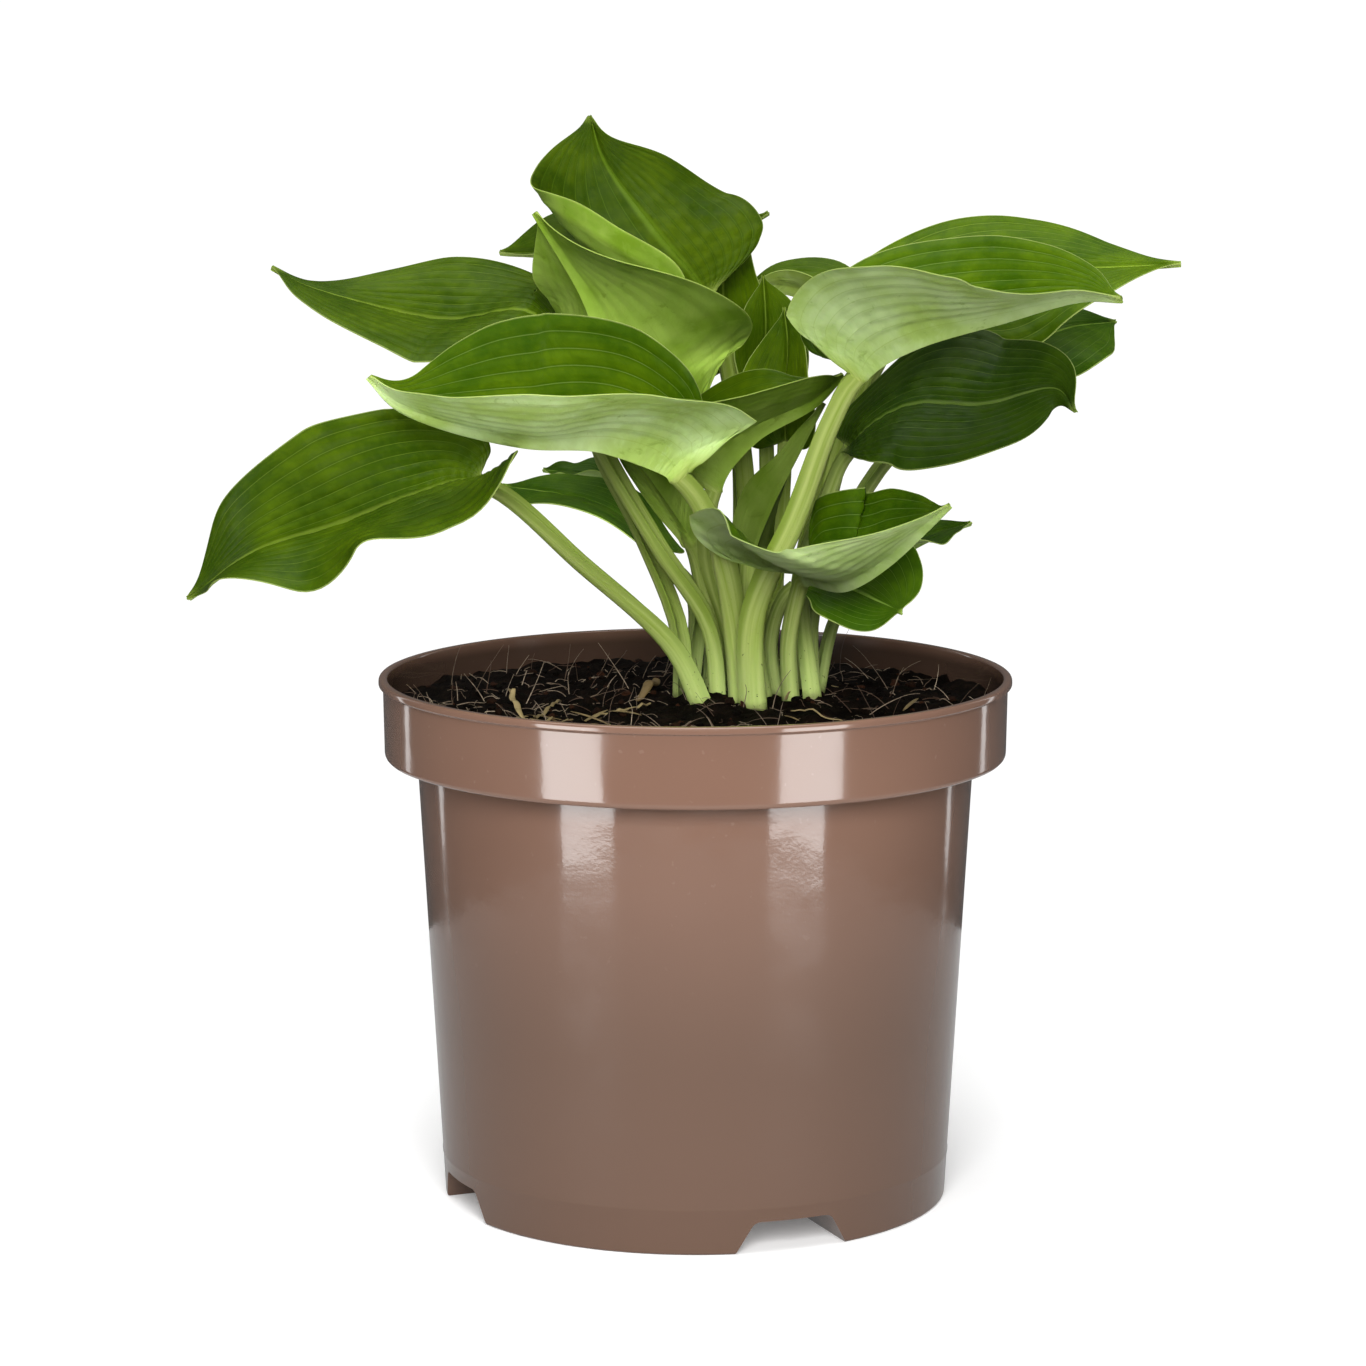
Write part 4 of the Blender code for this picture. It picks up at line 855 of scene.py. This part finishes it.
def add_bar(name, grow, turn):
    """A bar with a rounded trapezoid section, lying across the pot's underside."""
    bottom, top = FOOT_BOTTOM_WIDTH / 2.0 + grow, FOOT_TOP_WIDTH / 2.0 + grow
    height, start = FOOT_HEIGHT + grow, -FOOT_CORNER
    half = rounded([(bottom + 1.0, start), (bottom, 0.0), (top, height), (0.0, height)],
                   [0.0, 0.0, FOOT_CORNER])[:-1]
    section = half + [(-y, z) for y, z in half[::-1]]
    section = section[::-1]
    n = len(section)
    points = [(end, y, z) for end in (-RIM_RADIUS, RIM_RADIUS) for y, z in section]
    faces = [tuple(range(n)), tuple(range(2 * n - 1, n - 1, -1))]
    faces += [(k, n + k, n + (k + 1) % n, (k + 1) % n) for k in range(n)]
    bar = add_mesh(name, points, faces)
    bar.data.transform(Matrix.Rotation(np.radians(turn), 4, "Z"))
    return bar


def bars(name, grow):
    """The two crossing bars under the pot, as one object."""
    first = add_bar(name, grow, FOOT_TURN - 90.0)
    boolean(first, add_bar(name + "_across", grow, FOOT_TURN), "UNION")
    return first


def wall_radius(height):
    return BASE_RADIUS + (BODY_TOP_RADIUS - BASE_RADIUS) * height / collar_bottom()


def make_pot(look):
    lower, lip = collar_bottom(), POT_HEIGHT - LIP_HEIGHT
    collar = RIM_RADIUS - LIP_PROUD
    seam = [(wall_radius(SEAM_LEVEL + up) + SEAM_PROUD * out, SEAM_LEVEL + up)
            for up, out in SEAM_SHAPE]
    outside = [(0.0, 0.0), (BASE_RADIUS, 0.0), *seam, (BODY_TOP_RADIUS, lower),
               (collar - COLLAR_TAPER, lower), (collar, lip), (RIM_RADIUS, lip + 0.3),
               (RIM_RADIUS, POT_HEIGHT), (collar - WALL, POT_HEIGHT)]
    # The roundings of the outside's corners, in the same order.
    radii = [0.0, EDGE_ROUND, 0.0, 0.0, 0.0, 0.0, 1.6, 1.8, 0.5, 0.4, LIP_ROUND, 0.8]
    inside = inner_profile(0.0)[::-1] + [(0.0, WALL)]
    profile = rounded(outside + inside, radii + [0.0] * len(inside))
    pot = add_turned("pot_fine", profile, SEGMENTS)
    raised = bars("raised_floor", WALL)
    half_wall = WALL / 2.0
    core = add_turned("core", [(0.0, half_wall), (BASE_RADIUS - half_wall, half_wall),
                               (BODY_TOP_RADIUS - half_wall, lower), (0.0, lower)], SEGMENTS)
    boolean(raised, core, "INTERSECT")
    boolean(pot, raised, "UNION")
    boolean(pot, bars("channels", 0.0), "DIFFERENCE")
    drill = [(0.0, 0.0), (DRAIN_RADIUS, 0.0), (DRAIN_RADIUS, 2.0 * FOOT_HEIGHT),
             (0.0, 2.0 * FOOT_HEIGHT)]
    for quarter in range(4):
        bearing = np.radians(FOOT_TURN + 90.0 * quarter - 90.0)
        drain = add_turned("drain", drill, DRAIN_SIDES)
        spot = np.array([np.cos(bearing), np.sin(bearing), 0.0]) * DRAIN_DISTANCE * MILLIMETRE
        drain.data.transform(Matrix.Translation(spot))
        boolean(pot, drain, "DIFFERENCE")
    repaint(pot, look)
    pot.data.set_sharp_from_angle(angle=np.radians(POT_SHARP_ANGLE))
    claim(pot, "pot_plastic", "pot")


# ---- soil ------------------------------------------------------------------------------
FINE_RINGS = 84                 # of points on the soil
FINE_TURN = 264                 # points on each ring
SOIL_ROUGH = 1.9                # height of the surface's lumps
LUMP_LENGTH = 11.0
CLOD_HEIGHT = 2.2
CLOD_LENGTH = 5.0
SOIL_SUNK = 0.6                 # how far the lumps' middle height is under the soil's level
BITS_EDGE = RIM_RADIUS - 4.5    # no fibre or sliver reaches past it
CRUMBS = 620
CRUMB_EDGE = RIM_RADIUS - 8.0
FIBRES = 430
FIBRE_EDGE = RIM_RADIUS - 7.0
FIBRE_STEPS = 11
FIBRE_DROOP = 0.075             # the slope that a fibre loses on each step
SLIVERS = 40
SLIVER_EDGE = RIM_RADIUS - 12.0
SLIVER_REACH = RIM_RADIUS - 10.0
SLIVER_HEAP = ((-40.0, 17.0), (-42.0, 12.0))    # middle and spread, on x and y
SCRAP_SLIMNESS = 0.72           # of the half-widths in SCRAPS


def soil_height(x, y):
    """The soil's uneven surface, with a low mound round the crown."""
    across, along = SOIL_SWELL_LENGTH
    swell = SOIL_SWELL * np.sin(x / across + 1.0) * np.cos(y / along)
    ripple = SOIL_RIPPLE * np.sin((x + 2.0 * y) / SOIL_RIPPLE_LENGTH)
    away = np.hypot(x - CROWN_MIDDLE[0], y - CROWN_MIDDLE[1]) / SOIL_SPREAD
    return SOIL_LEVEL + swell + ripple + SOIL_MOUND * np.exp(-away ** 2)


def soil_top(x, y):
    """The fine surface: lumps of several sizes over the mound."""
    lump = noise.fractal(Vector((x / LUMP_LENGTH, y / LUMP_LENGTH, 3.0)), 0.8, 2.1, 5)
    clod = max(0.0, noise.noise(Vector((x / CLOD_LENGTH, y / CLOD_LENGTH, 9.0)))) ** 1.5
    return float(soil_height(x, y)) + SOIL_ROUGH * lump + CLOD_HEIGHT * clod - SOIL_SUNK


def make_soil(look):
    wall = inner_profile(FIT_GAP)
    edge = wall[-1][0]
    radii = edge * np.linspace(1.0, 0.0, FINE_RINGS, endpoint=False)
    rings = [(radius, SOIL_LEVEL) for radius in radii]
    profile = [(0.0, wall[0][1])] + wall + rings + [(0.0, SOIL_LEVEL)]
    soil = add_turned("soil_fine", profile, FINE_TURN, look)
    for vertex in soil.data.vertices:
        x, y, z = np.array(vertex.co) / MILLIMETRE
        if z > SOIL_LEVEL - EDGE_ROUND:
            vertex.co.z = soil_top(x, y) * MILLIMETRE
    boolean(soil, bars("soil_channels", WALL + FIT_GAP), "DIFFERENCE")
    repaint(soil, look)
    soil.data.shade_smooth()
    claim(soil, "soil", "soil")


def scatter(rng, count, edge):
    """Even random places on the soil's disc."""
    radius = edge * np.sqrt(rng.uniform(0.0, 1.0, count))
    turn = rng.uniform(0.0, 2.0 * np.pi, count)
    return np.column_stack([radius * np.cos(turn), radius * np.sin(turn)])


def make_crumbs(look):
    """Lumps of peat and bark, half sunk in the surface."""
    rng = np.random.default_rng(SEED + 1)
    ball = bmesh.new()
    bmesh.ops.create_icosphere(ball, subdivisions=2, radius=1.0)
    points = np.array([v.co for v in ball.verts])
    faces = [tuple(v.index for v in f.verts) for f in ball.faces]
    ball.free()
    bits, tones = [], []
    for x, y in scatter(rng, CRUMBS, CRUMB_EDGE):
        size = 0.4 + 1.4 * rng.random() ** 3
        squash = np.array([1.0, rng.uniform(0.6, 1.0), rng.uniform(0.45, 0.9)])
        shift = rng.uniform(0.0, 50.0, 3)
        knob = np.array([noise.noise(Vector(p * 1.6 + shift)) for p in points])
        shaped = points * squash * (size * (1.0 + 0.65 * knob))[:, None]
        turn = rng.uniform(0.0, 2.0 * np.pi)
        cos, sin = np.cos(turn), np.sin(turn)
        spin = np.array([[cos, -sin, 0.0], [sin, cos, 0.0], [0.0, 0.0, 1.0]])
        place = np.array([x, y, soil_top(x, y) + size * 0.25])
        bits.append((shaped @ spin.T + place, faces))
        tones.append(rng.random())
    claim(add_bits("soil_crumbs", bits, look, tones), "soil")


def make_fibres(look):
    """Fine, nearly straight roots: most lie on the soil, some stand out of it."""
    rng = np.random.default_rng(SEED + 2)
    bits, tones = [], []
    for k, (x, y) in enumerate(scatter(rng, FIBRES, FIBRE_EDGE)):
        length = rng.uniform(5.0, 12.0) if k % 4 else rng.uniform(10.0, 19.0)
        heading = rng.uniform(0.0, 2.0 * np.pi)
        rise = rng.uniform(-0.1, 0.35) if k % 3 else rng.uniform(0.5, 2.2)
        bend = rng.normal(0.0, 0.06)
        here = np.array([x, y, soil_top(x, y) - 0.3])
        path = [here]
        for _ in range(FIBRE_STEPS):
            heading += bend + rng.normal(0.0, 0.07)
            rise = rise - FIBRE_DROOP + rng.normal(0.0, 0.04)
            ahead = np.array([np.cos(heading), np.sin(heading), rise])
            here = here + unit(ahead) * length / FIBRE_STEPS
            if np.hypot(here[0], here[1]) > BITS_EDGE:
                break
            here[2] = max(here[2], soil_top(here[0], here[1]) + 0.12)
            path.append(here)
        if len(path) < 4:
            continue
        radii = rng.uniform(0.09, 0.17) * np.linspace(1.0, 0.45, len(path))
        bits.append(tube(path, radii))
        tones.append(rng.random() ** 1.3)
    claim(add_bits("soil_fibres", bits, look, tones), "soil")


# Larger scraps: ends (x, y, height over the soil), bend, half-width before SCRAP_SLIMNESS,
# flatness and tone.
SCRAPS = (
    ((-54.0, -16.0, 7.5), (-49.5, -31.0, 0.8), 1.6, 1.5, 0.35, 0.9),
    ((-40.5, 2.0, 1.2), (-47.5, -30.0, 0.8), 0.4, 0.9, 0.5, 0.55),
    ((-31.0, -25.0, 0.8), (-13.5, -13.0, 1.6), 0.8, 1.1, 0.45, 0.75),
    ((-17.5, 4.0, 1.0), (-12.0, 22.0, 4.0), 1.5, 2.2, 0.55, 0.15),
    ((-68.0, -38.0, 0.8), (-36.0, -33.0, 0.6), -1.2, 1.3, 0.4, 0.35),
    ((-60.0, -45.0, 0.6), (-30.0, -44.0, 1.0), 1.0, 1.0, 0.4, 0.6),
    ((44.0, -38.0, 0.6), (28.0, -30.0, 2.0), 0.8, 0.6, 0.6, 0.8),
    ((27.0, -8.0, 0.5), (29.5, -6.0, 9.0), 0.4, 1.9, 0.3, 0.85),
)


def add_scrap(start, end, bend, half, flat):
    """One larger scrap of straw or bark, lying on the fine surface."""
    t = np.linspace(0.0, 1.0, 14)[:, None]
    run = np.array(end) - np.array(start)
    across = unit(np.cross(run, (0.0, 0.0, 1.0)))
    path = np.array(start) + run * t + across * bend * np.sin(np.pi * t)
    path = path + across * 0.25 * bend * np.sin(3.0 * np.pi * t)
    path[:, 2] += [soil_top(*p[:2]) for p in path]
    full = np.sin(np.pi * np.clip(t[:, 0] * 0.94 + 0.03, 0.0, 1.0)) ** 0.5
    radii = SCRAP_SLIMNESS * half * (0.35 + 0.65 * full)
    return tube(path, radii, sides=10, flat=flat)


def make_straw(look):
    """Flat slivers of straw and bark, most at the front left."""
    rng = np.random.default_rng(SEED + 3)
    bits = [add_scrap(*scrap[:5]) for scrap in SCRAPS]
    tones = [scrap[5] for scrap in SCRAPS]
    for k in range(SLIVERS):
        if k % 3:
            x, y = [rng.normal(*heap) for heap in SLIVER_HEAP]
        else:
            x, y = scatter(rng, 1, SLIVER_EDGE)[0]
        if np.hypot(x, y) > SLIVER_REACH:
            continue
        length, heading = rng.uniform(5.0, 17.0), rng.uniform(0.0, np.pi)
        tilt = rng.uniform(-0.05, 0.25)
        ahead = unit(np.array([np.cos(heading), np.sin(heading), tilt]))
        t = np.linspace(-0.5, 0.5, 7)[:, None]
        sag = np.array([0.0, 0.0, -1.0]) * (t ** 2) * rng.uniform(0.0, 2.5)
        path = np.array([x, y, 0.0]) + ahead * t * length + sag
        ground = max(soil_top(*p[:2]) for p in path)
        path[:, 2] += ground - path[:, 2].min() - rng.uniform(0.2, 1.0)
        if not (np.hypot(path[:, 0], path[:, 1]) < BITS_EDGE).all():
            continue
        radii = rng.uniform(0.3, 0.7) * (1.0 - 0.7 * (2.0 * np.abs(t[:, 0])) ** 3)
        bits.append(tube(path, radii, sides=8, flat=rng.uniform(0.3, 0.6)))
        tones.append(rng.random())
    claim(add_bits("soil_straw", bits, look, tones), "soil")


# ---- leaves ----------------------------------------------------------------------------
# Screen colours: the upper side's dark and light green, the underside and its bloom, and the
# stalk's dark and pale stripes.
GREENS = {
    "mid": ((40, 62, 2), (76, 98, 5), (126, 148, 54), (156, 176, 104),
            (118, 138, 52), (158, 171, 98)),
    "fresh": ((44, 72, 2), (83, 108, 7), (140, 163, 82), (164, 184, 126),
              (122, 142, 54), (162, 174, 100)),
    "deep": ((26, 47, 3), (52, 74, 6), (112, 136, 58), (142, 164, 102),
             (112, 132, 54), (150, 164, 92)),
    "powdered": ((36, 62, 2), (69, 94, 5), (132, 157, 80), (164, 182, 126),
                 (118, 138, 52), (158, 171, 98)),
    "dusky": ((39, 60, 2), (74, 94, 5), (98, 126, 30), (126, 150, 62),
              (112, 132, 50), (150, 164, 88)),
}


def make_leaves():
    looks = {key: leaf_look("leaf_" + key, *[colour(*rgb) for rgb in greens])
             for key, greens in GREENS.items()}
    for seed, (name, row) in enumerate(LEAVES.items()):
        spec = dict(zip(LEAF_FIELDS, row))
        claim(fine_leaf(name, spec, looks[spec["green"]], SEED + 10 + seed), "leaf", name)


# ---- stage, light and camera -----------------------------------------------------------
CAMERA_PLACE = (-0.0037, -1.377, 0.379)
CAMERA_TILT = 80.79             # degrees from straight down
LENS = 122.37
SENSOR = 36.0
STAGE_RADIUS = 382.0            # its edge cuts the highlights on the pot's body
STAGE_GLOW = 0.16
STAGE_LEVELS = (-2.0, -0.02)
STAGE_SIDES = 128

# Upright strips: azimuth, width in degrees, low and high ends in metres, and radiance.
STRIPS = {
    "strip_left": (-45.2, 23.0, -0.53, 0.45, 7.5), "strip_right": (42.2, 24.0, -0.53, 0.45, 7.0),
    "rim_left": (-130.0, 4.0, -0.28, 1.0, 2.0), "rim_right": (130.0, 4.0, -0.28, 1.0, 2.0),
}
STRIP_DISTANCE = 1.5
# Panels, in metres and watts.
FRONT = dict(place=(0.0, -1.5, 0.8), aim=(0.0, 0.0, 0.15), size=(0.8, 0.7), power=37.0)
OVERHEAD = dict(place=(-0.1, -0.1, 1.5), aim=(0.0, 0.0, 0.2), size=(1.3, 1.3), power=19.0)
WORLD_STRENGTH = 0.22
WORLD_SEEN = 1.05               # the same for the camera
WORLD_IN_GLOSS = 0.45           # how much of it a reflection keeps


def stage_look():
    look = Look("stage_pale", Roughness=0.8)
    soft = look.noise(3.0, 1.0, 0.5)
    pale = look.mix(look.span(soft, 0.2, 0.8), (0.92, 0.92, 0.92, 1.0), (0.94, 0.94, 0.94, 1.0))
    mirrored = look.node("LightPath").outputs["Is Glossy Ray"]
    return look.wire(Base_Color=look.mix(mirrored, pale, (0.30, 0.30, 0.30, 1.0)),
                     Emission_Color=(1.0, 1.0, 1.0, 1.0), Emission_Strength=STAGE_GLOW)


def make_stage():
    n = STAGE_SIDES
    points = [(STAGE_RADIUS * np.cos(t), STAGE_RADIUS * np.sin(t), z) for z in STAGE_LEVELS
              for t in np.linspace(0.0, 2.0 * np.pi, n, endpoint=False)]
    faces = [tuple(range(n - 1, -1, -1)), tuple(range(n, 2 * n))]
    faces += [(k, (k + 1) % n, n + (k + 1) % n, n + k) for k in range(n)]
    add_mesh("stage_floor", points, faces, stage_look())


def add_panel(name, place, aim, size, power):
    """A soft rectangular light that faces a point."""
    light = bpy.data.lights.new(name, "AREA")
    light.shape = "RECTANGLE"
    light.size, light.size_y = size
    light.energy = power
    lamp = bpy.data.objects.new(name, light)
    bpy.context.scene.collection.objects.link(lamp)
    lamp.location = place
    lamp.rotation_euler = (Vector(aim) - Vector(place)).to_track_quat("-Z", "Y").to_euler()
    lamp.visible_camera = False
    return lamp


def add_strip(name, azimuth, degrees, low, high, radiance):
    """An upright strip, seen only in reflections; azimuth 0 is in front, positive rightward."""
    bearing, middle = np.radians(azimuth), (low + high) / 2.0
    place = (STRIP_DISTANCE * np.sin(bearing), -STRIP_DISTANCE * np.cos(bearing), middle)
    wide = 2.0 * STRIP_DISTANCE * np.tan(np.radians(degrees / 2.0))
    power = radiance * np.pi * wide * (high - low)
    lamp = add_panel(name, place, (0.0, 0.0, middle), (wide, high - low), power)
    lamp.visible_diffuse = lamp.visible_transmission = False


def make_world():
    """A pale studio: full for the camera, dim as a light and dimmer still in reflections."""
    world = bpy.data.worlds.new("studio")
    bpy.context.scene.world = world
    world.use_nodes = True
    studio = Nodes(world.node_tree)
    ray = studio.node("LightPath").outputs
    background = studio.tree.nodes["Background"].inputs
    studio.feed(background["Color"], (1.0, 1.0, 1.0, 1.0))
    studio.feed(background["Strength"], studio.math(
        "MULTIPLY", studio.span(ray["Is Camera Ray"], 0.0, 1.0, WORLD_STRENGTH, WORLD_SEEN),
        studio.span(ray["Is Glossy Ray"], 0.0, 1.0, 1.0, WORLD_IN_GLOSS)))


def make_lights():
    for name, strip in STRIPS.items():
        add_strip(name, *strip)
    add_panel("front", **FRONT).visible_glossy = False
    add_panel("overhead", **OVERHEAD)
    make_world()


def make_camera():
    data = bpy.data.cameras.new("photo_view")
    data.lens, data.sensor_width = LENS, SENSOR
    camera = bpy.data.objects.new("photo_view", data)
    bpy.context.scene.collection.objects.link(camera)
    camera.location = CAMERA_PLACE
    camera.rotation_euler = (np.radians(CAMERA_TILT), 0.0, 0.0)
    bpy.context.scene.camera = camera
    bpy.context.scene.view_settings.view_transform = "Standard"


make_pot(pot_look())
make_soil(soil_look())
make_crumbs(crumb_look())
make_fibres(fibre_look())
make_straw(straw_look())
crown = crown_look()
for material_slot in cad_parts["crown"].material_slots:
    material_slot.material = crown
make_leaves()
make_stage()
make_lights()
make_camera()
